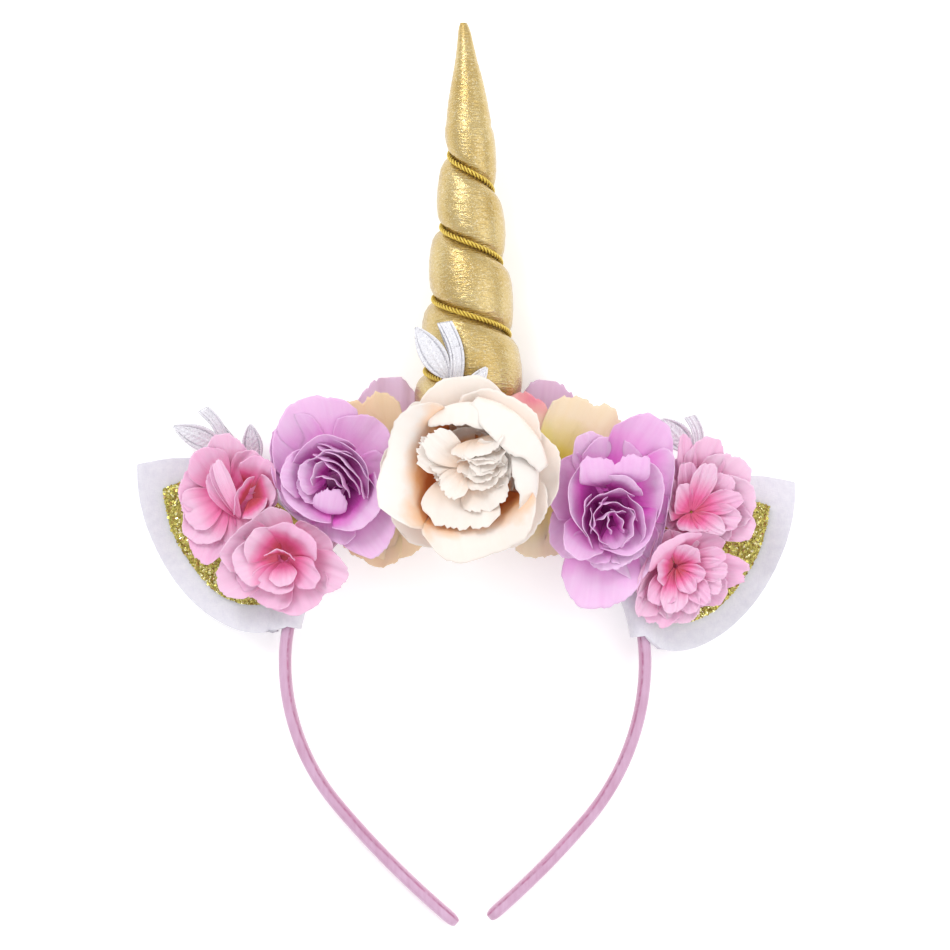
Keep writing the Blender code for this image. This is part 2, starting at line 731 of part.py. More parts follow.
def blossoms():
    """Every blossom by name."""
    front = BAND_WIDTH / 2 - SUNK
    horn_front = HORN_FORWARD + horn_widest()
    over_horn = horn_front + 0.0010
    made = {}
    cream_seat = (0.0014, BAND_RADIUS - 0.0045, front)
    made["rose_cream"] = rose(
        cream_seat, (0.0014, 0.0655, over_horn + 0.0006), CREAM_REACH, CREAM_OUTER, (0, 0, 1), 1.0, 20,
        (cream_seat[0], cream_seat[1], over_horn),
    )
    seat = on_band(126, front)
    made["rose_lilac_left"] = rose(
        seat, (-0.0455, 0.0630, 0.0105), LILAC_LEFT_REACH, LILAC_LEFT_OUTER, (-0.12, 0.05, 1), 0.80, 50,
        (-0.0430, 0.0590, 0.0097),
    )
    seat = on_band(48.7, front)
    made["rose_lilac_right"] = rose(
        seat, (0.0500, 0.0570, 0.0105), LILAC_RIGHT_REACH, LILAC_RIGHT_OUTER, (0.10, 0.0, 1), 0.84, 15,
        (0.0480, 0.0550, 0.0097),
    )
    for name, x, y, first in (("left_upper", -0.0820, 0.0585, 20), ("right_upper", 0.0815, 0.0580, 5)):
        sheet = ear_height(x, y) + FELT / 2
        made[f"pink_bloom_{name}"] = bloom(
            (x, y, sheet - SUNK / 2), (x, y, sheet + 0.0060), PINK_REACH, (0, 0, 1), first
        )
    cuff_front = BAND_WIDTH / 2 + CUFF_CLEARANCE + FELT - SUNK
    made["pink_bloom_left_lower"] = bloom(
        on_band(149, cuff_front), (-0.0625, 0.0375, 0.0100), PINK_REACH, (-0.15, -0.15, 1), 40
    )
    sheet = ear_height(0.0750, 0.0310) + FELT / 2
    made["pink_bloom_right_lower"] = bloom(
        (0.0750, 0.0310, sheet - SUNK / 2), (0.0760, 0.0310, 0.0060), PINK_REACH, (0.15, -0.1, 1), 10
    )
    made["peach_blossom_left"] = open_blossom(
        on_band(115, front), (-0.0268, 0.0575, 0.0060), PEACH_REACH,
        ((98, 1.02), (-78, 0.62), (-112, 0.66)), (0, 0, 1), 84,
    )
    made["peach_blossom_right"] = open_blossom(
        on_band(64, front), (0.0278, 0.0575, 0.0060), PEACH_REACH,
        ((63, 0.98), (93, 1.0), (-88, 0.58)), (0, 0, 1), 82,
    )
    outer = BAND_RADIUS + BAND_THICKNESS / 2 - 0.0008
    for side, angle in ((-1, 112.5), (1, 67.5)):
        seat = band_point(angle, outer - BAND_RADIUS, -0.0010)
        hub = band_point(angle, outer - BAND_RADIUS + 0.0040, -0.0035)
        name = "left" if side < 0 else "right"
        made[f"lilac_blossom_{name}"] = open_blossom(
            tuple(seat), tuple(hub), PALE_LILAC_REACH, ((90 - side * 10, 1.0), (90 - side * 42, 0.85)),
            (0, 0.05, 1), 92,
        )
    return made


# Where two blossoms meet: the wall stands at a share of the way from the first hub to the second, and
# leans so that the second blossom lies over the first
NEIGHBOURS = (
    ("rose_lilac_left", "rose_cream", 0.52, 0.45),
    ("rose_lilac_right", "rose_cream", 0.52, 0.45),
    ("pink_bloom_left_upper", "rose_lilac_left", 0.55, 0.30),
    ("pink_bloom_right_upper", "rose_lilac_right", 0.50, 0.25),
    ("rose_lilac_left", "pink_bloom_left_lower", 0.58, 0.25),
    ("rose_lilac_right", "pink_bloom_right_lower", 0.58, 0.25),
    ("pink_bloom_left_upper", "pink_bloom_left_lower", 0.52, 0.35),
    ("pink_bloom_right_upper", "pink_bloom_right_lower", 0.52, 0.35),
)


def blossom_walls(made):
    """For each blossom, the walls of its cell, half a clearance back from the plane it shares."""
    walls = {name: [] for name in made}
    for first, second, share, lean in NEIGHBOURS:
        a, b = Vector(made[first]["hub"]), Vector(made[second]["hub"])
        way = (b - a).xy.normalized()
        normal = Vector((way.x, way.y, lean)).normalized()
        middle = a.lerp(b, share)
        walls[first].append((middle - normal * CLEARANCE * 0.6, normal))
        walls[second].append((middle + normal * CLEARANCE * 0.6, -normal))
    return walls


def keep_out_shapes(parent, made):
    """What the blossoms are cut back from: the band, the horn, the ears and the roses' stalks, each with clearance."""
    gap = 2 * CLEARANCE
    shapes = {}

    def add(name, mesh):
        shapes[name] = new_object(f"{name}_clear", mesh, parent)

    rings = [
        band_ring(x, y, out, BAND_WIDTH + gap, BAND_THICKNESS + gap) for x, y, out in band_stations()
    ]
    add("band", tube_mesh("band_clear", rings))
    rings = []
    for depth in np.linspace(0.030, HORN_LENGTH + 0.0002, 14):
        across, forward = horn_axis(depth)
        radius = horn_groove_radius(depth) + HORN_PAD + CLEARANCE
        y = horn_base_height() + HORN_LENGTH - depth
        ring = []
        for k in range(28):
            angle = 2 * math.pi * k / 28
            x = across + radius * math.cos(angle) * 1.006
            z = max(forward + radius * math.sin(angle) * 1.006, table_height(y) - CLEARANCE)
            ring.append((x, y, z))
        rings.append(ring)
    add("horn", tube_mesh("horn_clear", rings))
    for ear in EARS:
        side = ear["name"]
        first, last = ear["cuff"]
        spread = 0.5 if last > first else -0.5
        width = BAND_WIDTH + 2 * (CUFF_CLEARANCE + FELT) + gap
        thickness = BAND_THICKNESS + 2 * (CUFF_CLEARANCE + FELT) + gap
        rings = []
        for angle in np.linspace(first - spread, last + spread, 6):
            spot = band_point(angle)
            rings.append(band_ring(spot.x, spot.y, spot.xy.normalized(), width, thickness))
        add(f"cuff_{side}", tube_mesh(f"cuff_{side}_clear", rings))
        add(f"felt_{side}", sheet_mesh(f"felt_{side}_clear", felt_grid(ear), FELT + gap))
        add(f"glitter_{side}", sheet_mesh(f"glitter_{side}_clear", glitter_grid(ear), GLITTER + gap))
    for name, flower in made.items():
        if name.startswith("rose"):
            stalk = dict(flower, seat_radius=ROSE_STALK + CLEARANCE, hub_radius=ROSE_STALK)
            place = Matrix.Translation(Vector(flower["hub"])) @ tilted(flower["axis"])
            add(f"{name}_stalk", core_mesh(f"{name}_stalk_clear", stalk, place))
    return shapes


def keep_out_names(name):
    """Which keep-out shapes a blossom could touch."""
    names = ["band"]
    if name.startswith("pink"):
        side = "left" if "left" in name else "right"
        names += [f"cuff_{side}", f"felt_{side}", f"glitter_{side}"]
    if name.startswith("rose_lilac"):
        side = "left" if "left" in name else "right"
        names += [f"cuff_{side}", f"felt_{side}"]
    if "blossom" in name or name == "rose_cream":
        names.append("horn")
    if "blossom" in name:
        names += [f"{rose}_stalk" for rose in ("rose_cream", "rose_lilac_left", "rose_lilac_right")]
    return names


# Silver sprigs: two leaves and a bent strap on a thread-like stem


LEAF = 0.0010
SPRIG_STEM = 0.0008
# base of the stem, height there, then for each blade its root and tip as seen from the front, its half width
# and how far its tip stands above its root
SPRIGS = (
    {"name": "left", "base": (-0.0840, 0.0640), "lift": 0.0032, "rise": 0.0030, "blades": (
        ("leaf", (-0.0850, 0.0720), (-0.1022, 0.0800), 0.0032),
        ("strap", (-0.0850, 0.0720), (-0.0935, 0.0890), 0.0014),
        ("leaf", (-0.0800, 0.0700), (-0.0755, 0.0828), 0.0030),
    )},
    {"name": "centre", "base": (-0.0030, 0.0840), "lift": None, "rise": 0.0015, "blades": (
        ("leaf", (-0.0060, 0.0990), (-0.0165, 0.1160), 0.0034),
        ("strap", (-0.0045, 0.0960), (-0.0060, 0.1180), 0.0016),
        ("leaf", (0.0000, 0.0920), (0.0075, 0.1025), 0.0026),
    )},
    {"name": "right", "base": (0.0760, 0.0640), "lift": 0.0032, "rise": 0.0030, "blades": (
        ("leaf", (0.0790, 0.0750), (0.0700, 0.0850), 0.0030),
        ("strap", (0.0800, 0.0740), (0.0822, 0.0860), 0.0015),
    )},
)


def blade_grid(root, tip, half, kind):
    """A leaf's grid narrows to both ends; a strap's keeps its width and is cut square."""
    way = tip - root
    across = way.cross(Vector((0, 0, 1))).normalized()
    grid = []
    for i in range(5):
        share = i / 4
        wide = half if kind == "strap" else half * math.sin(math.pi * (0.10 + 0.80 * share)) ** 0.8
        arch = way.length * 0.06 * math.sin(math.pi * share)
        middle = root + way * share + Vector((0, 0, arch))
        grid.append([tuple(middle + across * wide * s) for s in (-1, 0, 1)])
    return grid


def build_sprigs(parent, shapes):
    silver = material("silver_leaf", SILVER, 0.35, 0.7)
    for sprig in SPRIGS:
        x, y = sprig["base"]
        if sprig["lift"] is None:
            height = HORN_FORWARD + horn_widest() + CLEARANCE + LEAF * 0.6
            seated = ["horn"]
        else:
            height = ear_height(x, y) + FELT / 2 + sprig["lift"]
            seated = [f"felt_{sprig['name']}", f"glitter_{sprig['name']}"]
        name = f"leaf_sprig_{sprig['name']}"
        base = Vector((x, y, height))
        knot = Matrix.Translation(base) @ Matrix.Diagonal((0.0016, 0.0016, 0.0022 if sprig["lift"] else 0.0008, 1))
        shape = bmesh.new()
        bmesh.ops.create_icosphere(shape, subdivisions=1, radius=1.0, matrix=knot)
        mesh = bpy.data.meshes.new(name)
        shape.to_mesh(mesh)
        shape.free()
        body = new_object(name, mesh, parent, silver)
        pieces = []
        for i, (kind, root, tip, half) in enumerate(sprig["blades"]):
            root = Vector((*root, height + LEAF * 0.2))
            tip = Vector((*tip, height + sprig["rise"]))
            grid = blade_grid(root, tip, half, kind)
            pieces.append(new_object(f"{name}_blade_{i}", sheet_mesh(f"{name}_blade_{i}", grid, LEAF), parent))
            way = (root - base).normalized()
            turn = Vector((0, 0, 1)).rotation_difference(way).to_matrix()
            ends = (base - way * 0.0004, root + way * 0.0025)
            rings = [
                [tuple(end + turn @ Vector((SPRIG_STEM * math.cos(a), SPRIG_STEM * math.sin(a), 0)))
                 for a in (math.pi * k / 2 for k in range(4))]
                for end in ends
            ]
            pieces.append(new_object(f"{name}_stem_{i}", tube_mesh(f"{name}_stem_{i}", rings), parent))
        combine(body, "UNION", pieces)
        combine(body, "DIFFERENCE", [shapes[other] for other in seated])


def main():
    clear_scene()
    frame = bpy.data.objects.new("frame_at_rest", None)
    bpy.context.scene.collection.objects.link(frame)
    build_band(frame)
    build_horn(frame)
    build_horn_cord(frame)
    cloth = {
        "rose_cream": material("cream_cloth", CREAM, 0.7),
        "rose_lilac": material("lilac_cloth", LILAC, 0.7),
        "pink_bloom": material("pink_cloth", PINK, 0.7),
        "peach_blossom": material("peach_cloth", PEACH, 0.7),
        "lilac_blossom": material("pale_lilac_cloth", PALE_LILAC, 0.7),
    }
    made = blossoms()
    walls = blossom_walls(made)
    shapes = keep_out_shapes(frame, made)
    felt = material("felt", FELT_WHITE, 0.9)
    glitter = material("glitter", GLITTER_GOLD, 0.4, 0.6)
    for ear in EARS:
        build_ear(frame, ear, felt, glitter, shapes)
    for name, flower in made.items():
        kind = "_".join(name.split("_")[:2])
        keep_out = [shapes[other] for other in keep_out_names(name)]
        build_flower(name, frame, cloth[kind], flower, walls[name], keep_out)
    build_sprigs(frame, shapes)
    bake(frame)
    frame.rotation_euler = (rest_tilt(), 0, 0)
    settle(frame)


def bake(frame):
    """Applies the Booleans, drops the crumbs they cut loose, and removes the helpers."""
    graph = bpy.context.evaluated_depsgraph_get()
    nodes = [node for node in frame.children if not node.hide_render]
    baked = {node: bpy.data.meshes.new_from_object(node.evaluated_get(graph)) for node in nodes}
    for node, mesh in baked.items():
        node.modifiers.clear()
        node.data = mesh
        keep_largest(mesh)
    for helper in [other for other in frame.children if other.hide_render]:
        bpy.data.objects.remove(helper, do_unlink=True)


def keep_largest(mesh):
    """Deletes every loose shell but the one with the most faces."""
    shape = bmesh.new()
    shape.from_mesh(mesh)
    left = set(shape.verts)
    shells = []
    while left:
        front = [left.pop()]
        shell = list(front)
        while front:
            corner = front.pop()
            for edge in corner.link_edges:
                other = edge.other_vert(corner)
                if other in left:
                    left.remove(other)
                    front.append(other)
                    shell.append(other)
        shells.append(shell)
    shells.sort(key=len)
    for shell in shells[:-1]:
        bmesh.ops.delete(shape, geom=shell, context="VERTS")
    shape.to_mesh(mesh)
    shape.free()


def settle(frame):
    """Moves the part so that the middle of its foot stands over the origin, on the table."""
    bpy.context.view_layer.update()
    graph = bpy.context.evaluated_depsgraph_get()
    low, high = Vector((1, 1, 1)), Vector((-1, -1, -1))
    for node in frame.children:
        if node.hide_render:
            continue
        evaluated = node.evaluated_get(graph)
        for corner in evaluated.data.vertices:
            point = evaluated.matrix_world @ corner.co
            low = Vector(map(min, low, point))
            high = Vector(map(max, high, point))
    frame.location = (-(low.x + high.x) / 2, -(low.y + high.y) / 2, -low.z)
    bpy.context.view_layer.update()


main()
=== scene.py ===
"""Unicorn horn headband as it was photographed: on its back on a pale table, seen from straight in front.

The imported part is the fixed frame. Lengths are metres. Every surface is worked out in the headband's own
frame, x across the head, y from the arm ends to the horn's tip, z towards the front of the flowers, with
its origin in the middle of the band's crown arc. at_rest then tips it onto the table as the part lies.
"""

import math

import bmesh
import bpy
import numpy as np
from mathutils import Matrix, Vector


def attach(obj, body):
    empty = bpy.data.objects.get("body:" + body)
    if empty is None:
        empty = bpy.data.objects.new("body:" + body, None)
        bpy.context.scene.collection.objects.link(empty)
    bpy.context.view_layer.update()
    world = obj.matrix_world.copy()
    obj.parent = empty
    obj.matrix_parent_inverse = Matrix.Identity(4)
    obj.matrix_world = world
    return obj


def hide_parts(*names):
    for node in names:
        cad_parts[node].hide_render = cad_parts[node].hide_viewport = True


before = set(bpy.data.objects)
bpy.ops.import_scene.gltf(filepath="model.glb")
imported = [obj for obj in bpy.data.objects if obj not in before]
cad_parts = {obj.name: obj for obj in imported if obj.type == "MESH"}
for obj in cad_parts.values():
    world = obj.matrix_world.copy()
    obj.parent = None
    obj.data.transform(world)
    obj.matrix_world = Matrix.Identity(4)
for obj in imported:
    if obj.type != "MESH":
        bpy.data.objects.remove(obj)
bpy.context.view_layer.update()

# Camera, table and lights
# The picture is a front view on white: one pixel is 0.35 mm, and the band's centre lies at pixel 465, 662.
# The camera looks along the headband's own z axis from far enough for an almost parallel view. The table is
# white and faintly lit from within, so that it stays as bright as the photo's ground.

PIXEL = 0.00035
BAND_CENTRE = (465, 662)
PICTURE = 950
CAMERA_DISTANCE = 1.4
REST_TILT = math.radians(3.992768)
REST_PLACE = Vector((-0.00035, -0.0650582, 0.0102137))
REST = Matrix.Translation(REST_PLACE) @ Matrix.Rotation(REST_TILT, 4, "X")


def at_rest(points):
    """The headband's own frame to the table's: each point turned by the rest tilt about x, then moved."""
    turn = np.array(REST.to_3x3())
    return np.asarray(points) @ turn.T + np.array(REST.translation)


camera = bpy.data.objects.new("camera", bpy.data.cameras.new("camera"))
bpy.context.scene.collection.objects.link(camera)
aim = Vector((
    (PICTURE / 2 - BAND_CENTRE[0]) * PIXEL, (BAND_CENTRE[1] - PICTURE / 2) * PIXEL, CAMERA_DISTANCE
))
camera.matrix_world = REST @ Matrix.Translation(aim)
camera.data.sensor_fit = "AUTO"
camera.data.angle = 2 * math.atan(PICTURE * PIXEL / 2 / CAMERA_DISTANCE)
camera.data.clip_end = 20
bpy.context.scene.camera = camera

TABLE_SIZE = 6.0
ROOM_LIGHT = 0.92
table_mesh = bpy.data.meshes.new("table")
edge = TABLE_SIZE / 2
table_mesh.from_pydata(
    [(-edge, -edge, 0), (edge, -edge, 0), (edge, edge, 0), (-edge, edge, 0)], [], [(0, 1, 2, 3)]
)
table = bpy.data.objects.new("table", table_mesh)
bpy.context.scene.collection.objects.link(table)


def soft_light(name, power, size, place, colour=(1.0, 1.0, 1.0)):
    """A square area light at this place, facing the middle of the headband."""
    data = bpy.data.lights.new(name, "AREA")
    data.energy, data.size, data.color = power, size, colour
    light = bpy.data.objects.new(name, data)
    bpy.context.scene.collection.objects.link(light)
    way = Vector((0, 0.02, 0)) - Vector(place)
    light.matrix_world = Matrix.Translation(place) @ way.to_track_quat("-Z", "Y").to_matrix().to_4x4()


soft_light("key_light", 6.8, 0.5, (-0.55, 0.75, 1.15))
soft_light("fill_light", 4.5, 1.2, (0.85, -0.25, 1.0), (1.0, 0.985, 0.97))

world = bpy.data.worlds.new("studio")
world.use_nodes = True
room = world.node_tree.nodes["Background"]
room.inputs["Color"].default_value = (1.0, 1.0, 1.0, 1.0)
room.inputs["Strength"].default_value = ROOM_LIGHT
bpy.context.scene.world = world
bpy.context.scene.view_settings.view_transform = "Standard"


class Finish:
    """A material in the making: its nodes, its shader, and one method that adds any node."""

    def __init__(self, name, **fixed):
        self.material = bpy.data.materials.new(name)
        self.material.use_nodes = True
        self.tree = self.material.node_tree
        self.shader = self.tree.nodes["Principled BSDF"]
        for socket, value in fixed.items():
            self.shader.inputs[socket.replace("_", " ")].default_value = value

    def node(self, kind, settings=None, inputs=None, output=0):
        """Adds a node: its settings first, then a value or a link for each socket named in inputs."""
        made = self.tree.nodes.new("ShaderNode" + kind)
        for name, value in (settings or {}).items():
            setattr(made, name, value)
        for name, value in (inputs or {}).items():
            if isinstance(value, Wire):
                self.tree.links.new(value.socket, made.inputs[name])
            else:
                made.inputs[name].default_value = value
        return Wire(self, made.outputs[output])

    def mark(self, name):
        """A number stored on the piece's points."""
        return self.node("Attribute", {"attribute_name": name}, output="Fac")

    def blend(self, share, first, second):
        """A colour between two, by share."""
        colours = [c if isinstance(c, Wire) else (*c, 1.0) for c in (first, second)]
        return self.node("Mix", {"data_type": "RGBA"}, {0: share, 6: colours[0], 7: colours[1]}, output=2)

    def noise(self, scale, detail=2.0, where=None, stretch=None):
        """Soft noise in metres of the piece's own place, or along where, drawn out by stretch."""
        where = where or self.node("TexCoord", output="Object")
        if stretch:
            where = self.node("Mapping", {}, {"Vector": where, "Scale": stretch})
        return self.node("TexNoise", {}, {"Vector": where, "Scale": scale, "Detail": detail}, output="Fac")

    def wear(self, **links):
        """Links wires to the shader's sockets."""
        for socket, wire in links.items():
            self.tree.links.new(wire.socket, self.shader.inputs[socket.replace("_", " ")])

    def raised(self, height, depth, over=None, strength=1.0):
        """A bump normal: height from 0 to 1 stands for depth metres."""
        inputs = {"Strength": strength, "Distance": depth, "Height": height}
        if over is not None:
            inputs["Normal"] = over
        return self.node("Bump", {}, inputs, output="Normal")


class Wire:
    """One output of a finish's nodes. A sum, difference or product of wires adds its Math node."""

    def __init__(self, finish, socket):
        self.finish, self.socket = finish, socket

    def maths(self, operation, first, second=0.0):
        """Adds a Math node on one or two numbers."""
        return self.finish.node("Math", {"operation": operation}, {0: first, 1: second})

    def __add__(self, other):
        return self.maths("ADD", self, other)

    def __radd__(self, other):
        return self.maths("ADD", other, self)

    def __sub__(self, other):
        return self.maths("SUBTRACT", self, other)

    def __rsub__(self, other):
        return self.maths("SUBTRACT", other, self)

    def __mul__(self, other):
        return self.maths("MULTIPLY", self, other)

    def __rmul__(self, other):
        return self.maths("MULTIPLY", other, self)

    def size(self):
        """Its size without its sign."""
        return self.maths("ABSOLUTE", self)

    def between(self, low, high):
        """0 at low, 1 at high, even in between and held outside."""
        ends = {"Value": self, "From Min": low, "From Max": high}
        return self.finish.node("MapRange", {"clamp": True}, ends)


table_finish = Finish("pale_table", Roughness=0.9, Base_Color=(0.97, 0.97, 0.97, 1.0),
                      Emission_Color=(1.0, 1.0, 1.0, 1.0), Emission_Strength=0.20)
table_grain = table_finish.noise(900.0, 3.0)
table_finish.wear(Normal=table_finish.raised(table_grain, 0.0001, strength=0.15))
table_mesh.materials.append(table_finish.material)


# Band
# A flat springy hoop wrapped lengthwise in pink satin ribbon. The ribbon's edge is glued down along the
# front, nearer the head, which leaves a seam there, and its ends are closed over the hoop's tips.

BAND_RADIUS = 0.063
BAND_WIDTH = 0.008
BAND_THICKNESS = 0.0044
BAND_TIP = 0.004
SEAM_ANGLE = math.pi / 2 + 0.42
SEAM_SHARPNESS = 12
ARM_STEPS, CROWN_STEPS = 150, 160
# each arm's headings in degrees from straight down, and how far along the arm from the crown it has them
BAND_TURNS = {
    "left": ((0.0, 40.12, 49.49), (0.0, 0.0539, 0.1093)),
    "right": ((0.0, 40.32, 48.87), (0.0, 0.0598, 0.1046)),
}
# the satin's pink, a paler painted sheen, and the painted shade of its seam and inner side
SATIN = (0.480, 0.250, 0.385)
SATIN_PAINTED_SHEEN = (0.610, 0.400, 0.560)
SATIN_SEAM_SHADE = (0.400, 0.095, 0.215)


def arm_line(side, count):
    """Points and headings down one arm: its heading grows evenly along each of its arcs, and the points
    are the running sums of the heading's sine and cosine."""
    turns, lengths = BAND_TURNS[side]
    along = np.linspace(0, lengths[-1], count)
    heading = np.radians(np.interp(along, lengths, turns))
    middle = (heading[1:] + heading[:-1]) / 2
    step = along[1]
    x = BAND_RADIUS - np.concatenate([[0], np.cumsum(np.sin(middle))]) * step
    y = -np.concatenate([[0], np.cumsum(np.cos(middle))]) * step
    return np.stack([x, y], axis=1), heading


def band_line(per_arm, crown):
    """The band's middle line from the left tip over the crown to the right tip, and its outward directions:
    the arms' points joined by half a circle."""
    left, left_turn = arm_line("left", per_arm)
    right, right_turn = arm_line("right", per_arm)
    angle = np.pi * (1 - np.arange(1, crown) / crown)
    out = np.stack([np.cos(angle), np.sin(angle)], axis=1)
    line = np.concatenate([left[::-1] * (-1, 1), BAND_RADIUS * out, right])
    left_out = np.stack([-np.cos(left_turn), -np.sin(left_turn)], axis=1)[::-1]
    right_out = np.stack([np.cos(right_turn), -np.sin(right_turn)], axis=1)
    return line, np.concatenate([left_out, out, right_out])


def new_piece(name, mesh, finish):
    """An object at the origin for this mesh, riding with the headband."""
    piece = bpy.data.objects.new(name, mesh)
    bpy.context.scene.collection.objects.link(piece)
    mesh.materials.append(finish.material)
    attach(piece, "root")
    return piece


def cells(rows, columns, around):
    """Corner numbers of every cell of a grid of rows and columns of points; around joins its two sides."""
    across = columns if around else columns - 1
    row, column = np.meshgrid(np.arange(rows - 1), np.arange(across), indexing="ij")
    ahead = (column + 1) % columns
    here, below = row * columns, (row + 1) * columns
    return np.stack([here + column, here + ahead, below + ahead, below + column], axis=-1).reshape(-1, 4)


def surface(name, grids, around=False, capped=False, marks=None):
    """A smooth mesh through grids of points, (grids, rows, columns, 3). With capped set, each end of a grid
    that goes around closes in a fan on its mean point. Marks are numbers kept on the points, one each."""
    grids = np.asarray(grids, float)
    if grids.ndim == 3:
        grids = grids[None]
    count, rows, columns = grids.shape[:3]
    each = rows * columns
    quads = (cells(rows, columns, around)[None] + np.arange(count)[:, None, None] * each).reshape(-1, 4)
    points = grids.reshape(-1, 3)
    kept = {key: np.broadcast_to(value, grids.shape[:3]).reshape(-1) for key, value in (marks or {}).items()}
    faces = quads.tolist()
    if capped:
        ends = grids[:, (0, -1)].mean(axis=2).reshape(-1, 3)
        near = np.arange(columns)
        ahead = (near + 1) % columns
        hub = count * each + 2 * np.arange(count)[:, None]
        start = np.arange(count)[:, None] * each
        last = start + (rows - 1) * columns
        for first, second, middle in (
            (start + ahead, start + near, hub), (last + near, last + ahead, hub + 1)
        ):
            fan = np.stack([first, second, np.broadcast_to(middle, first.shape)], axis=-1)
            faces += fan.reshape(-1, 3).tolist()
        points = np.concatenate([points, ends])
        for key, value in kept.items():
            grid = value.reshape(grids.shape[:3])
            kept[key] = np.concatenate([value, grid[:, (0, -1)].mean(axis=2).reshape(-1)])
    mesh = bpy.data.meshes.new(name)
    mesh.from_pydata(at_rest(points), [], faces)
    mesh.polygons.foreach_set("use_smooth", np.ones(len(mesh.polygons), bool))
    for key, value in kept.items():
        mesh.attributes.new(key, "FLOAT", "POINT").data.foreach_set("value", value.astype(np.float32))
    return mesh


def face_out(mesh):
    """Turns a closed mesh's faces outwards."""
    shape = bmesh.new()
    shape.from_mesh(mesh)
    bmesh.ops.recalc_face_normals(shape, faces=shape.faces)
    shape.to_mesh(mesh)
    shape.free()


def band_skin(line, out, sides=56):
    """The wrapped hoop: a rounded strip's section, carried along the line. The section is a circle whose
    cosine and sine are drawn towards a box by the powers 0.75 and 0.62; the seam is a narrow step in it that
    wavers and puckers by sines, and the last millimetres of each end shrink along nearly a quarter circle."""
    step = np.linalg.norm(np.diff(line, axis=0), axis=1)
    along = np.concatenate([[0], np.cumsum(step)])
    to_end = np.minimum(along, along[-1] - along)
    full = np.sqrt(np.clip(1 - (1 - np.clip(to_end / BAND_TIP, 0.0, 1)) ** 2.2, 0.03, 1))
    angle = 2 * np.pi * (np.arange(sides) + 0.5) / sides
    thick = np.sign(np.cos(angle)) * np.abs(np.cos(angle)) ** 0.75 * BAND_THICKNESS / 2
    wide = np.sign(np.sin(angle)) * np.abs(np.sin(angle)) ** 0.62 * BAND_WIDTH / 2
    waver = 0.10 * np.sin(along * 95) + 0.05 * np.sin(along * 233 + 1)
    seam = SEAM_ANGLE + waver[:, None]
    away = (angle[None] - seam) * SEAM_SHARPNESS
    lip = 0.00022 * np.exp(-((away - 1.0) ** 2)) - 0.00030 * np.exp(-((away + 0.2) ** 2) * 2.2)
    pucker = 0.00008 * np.sin(along * 1900 + 3 * np.sin(along * 310))[:, None] * np.exp(-np.abs(away) / 5)
    grow = lip + pucker
    a = thick[None] * (0.45 + 0.55 * full[:, None]) + np.cos(angle)[None] * grow
    b = wide[None] * full[:, None] + np.sin(angle)[None] * grow
    grid = np.zeros((len(line), sides, 3))
    grid[..., 0] = line[:, None, 0] + out[:, None, 0] * a
    grid[..., 1] = line[:, None, 1] + out[:, None, 1] * a
    grid[..., 2] = b
    return grid, {"lengthwise": along[:, None] + 0 * a, "from_seam": away / SEAM_SHARPNESS}


line, out = band_line(ARM_STEPS, CROWN_STEPS)
tips = BAND_TIP * np.array([1.0, 0.97, 0.9, 0.78, 0.6, 0.4, 0.2])
start = line[0] + (line[0] - line[1]) / np.linalg.norm(line[0] - line[1]) * tips[:, None]
end = line[-1] + (line[-1] - line[-2]) / np.linalg.norm(line[-1] - line[-2]) * tips[::-1, None]
line = np.concatenate([start, line, end])
out = np.concatenate([np.repeat(out[:1], len(tips), 0), out, np.repeat(out[-1:], len(tips), 0)])
band_grid, band_marks = band_skin(line, out)
band_mesh = surface("satin_band", band_grid, around=True, capped=True, marks=band_marks)
face_out(band_mesh)

satin = Finish("pink_satin", Roughness=0.36, Sheen_Weight=0.25, Sheen_Roughness=0.4, Specular_IOR_Level=0.45)
from_seam = satin.mark("from_seam")
sheen_streaks = satin.noise(1.0, 3.0, stretch=(900, 60, 900))
cloudy = satin.noise(90.0, 2.0)
weave = satin.node("TexWave", {"wave_type": "BANDS", "bands_direction": "Z"}, {
    "Vector": satin.node("CombineXYZ", {}, {2: satin.mark("lengthwise")}), "Scale": 550.0, "Distortion": 1.5,
}, output="Fac")
puckers = satin.noise(520.0, 2.0)
seam_shade = (1 - (from_seam - 0.05).size().between(0.05, 0.24)) * puckers.between(0.25, 0.60)
inner_strip_shade = from_seam.between(0.02, 0.25)
# The colour clouds at random and pales along lengthwise streaks: partly the ribbon's uneven tone, partly a
# painted sheen.
colour = satin.blend((cloudy * 0.7 + sheen_streaks * 0.5).between(0.30, 0.85), SATIN, SATIN_PAINTED_SHEEN)
# Painted shade: the band's inner side past the seam is darkened, and the seam's puckered groove more so.
colour = satin.blend(inner_strip_shade * 0.32, colour, SATIN_SEAM_SHADE)
colour = satin.blend(seam_shade * 0.70, colour, SATIN_SEAM_SHADE)
rough = 0.30 + sheen_streaks * 0.16
fine = satin.raised(weave, 0.00003, strength=0.35)
satin.wear(Base_Color=colour, Roughness=rough, Normal=satin.raised(cloudy, 0.0002, over=fine, strength=0.3))

band = new_piece("satin_band", band_mesh, satin)
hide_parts("headband")


# Horn
# A cone of pale gold metallic cloth, stuffed firm and pulled in by a cord wound round it, so that it swells
# between the turns. Its crinkled foil face glitters, and its back lies flat where it rests on the table.

HORN_LENGTH = 0.158
HORN_FOOT = BAND_RADIUS + BAND_THICKNESS / 2 + 0.0003
HORN_TIP_RADIUS = 0.0025
HORN_TAPER = 0.1146
HORN_BODY_LENGTH = 0.128
HORN_FORWARD = 0.0015
HORN_SIDEWAYS = 0.0015
HORN_TIP_LEAN = 0.0020
HORN_BACK = 0.01537
HORN_TABLE_GAP = 0.0004
HORN_FOOT_ROUNDING = 0.008
FIRST_GROOVE = 0.046
GROOVE_PITCH = 0.0252
CORD_START, CORD_END = -0.25, 3.95
# depth below the horn's tip, and the radius of its smooth point there
SMOOTH_POINT = ((0, 0.0012), (0.0012, 0.0017), (0.003, 0.0022), (0.008, 0.0030), (0.0135, 0.0040),
                (0.020, 0.0055), (0.027, 0.0069), (0.038, 0.0082), (0.060, 0.0092))
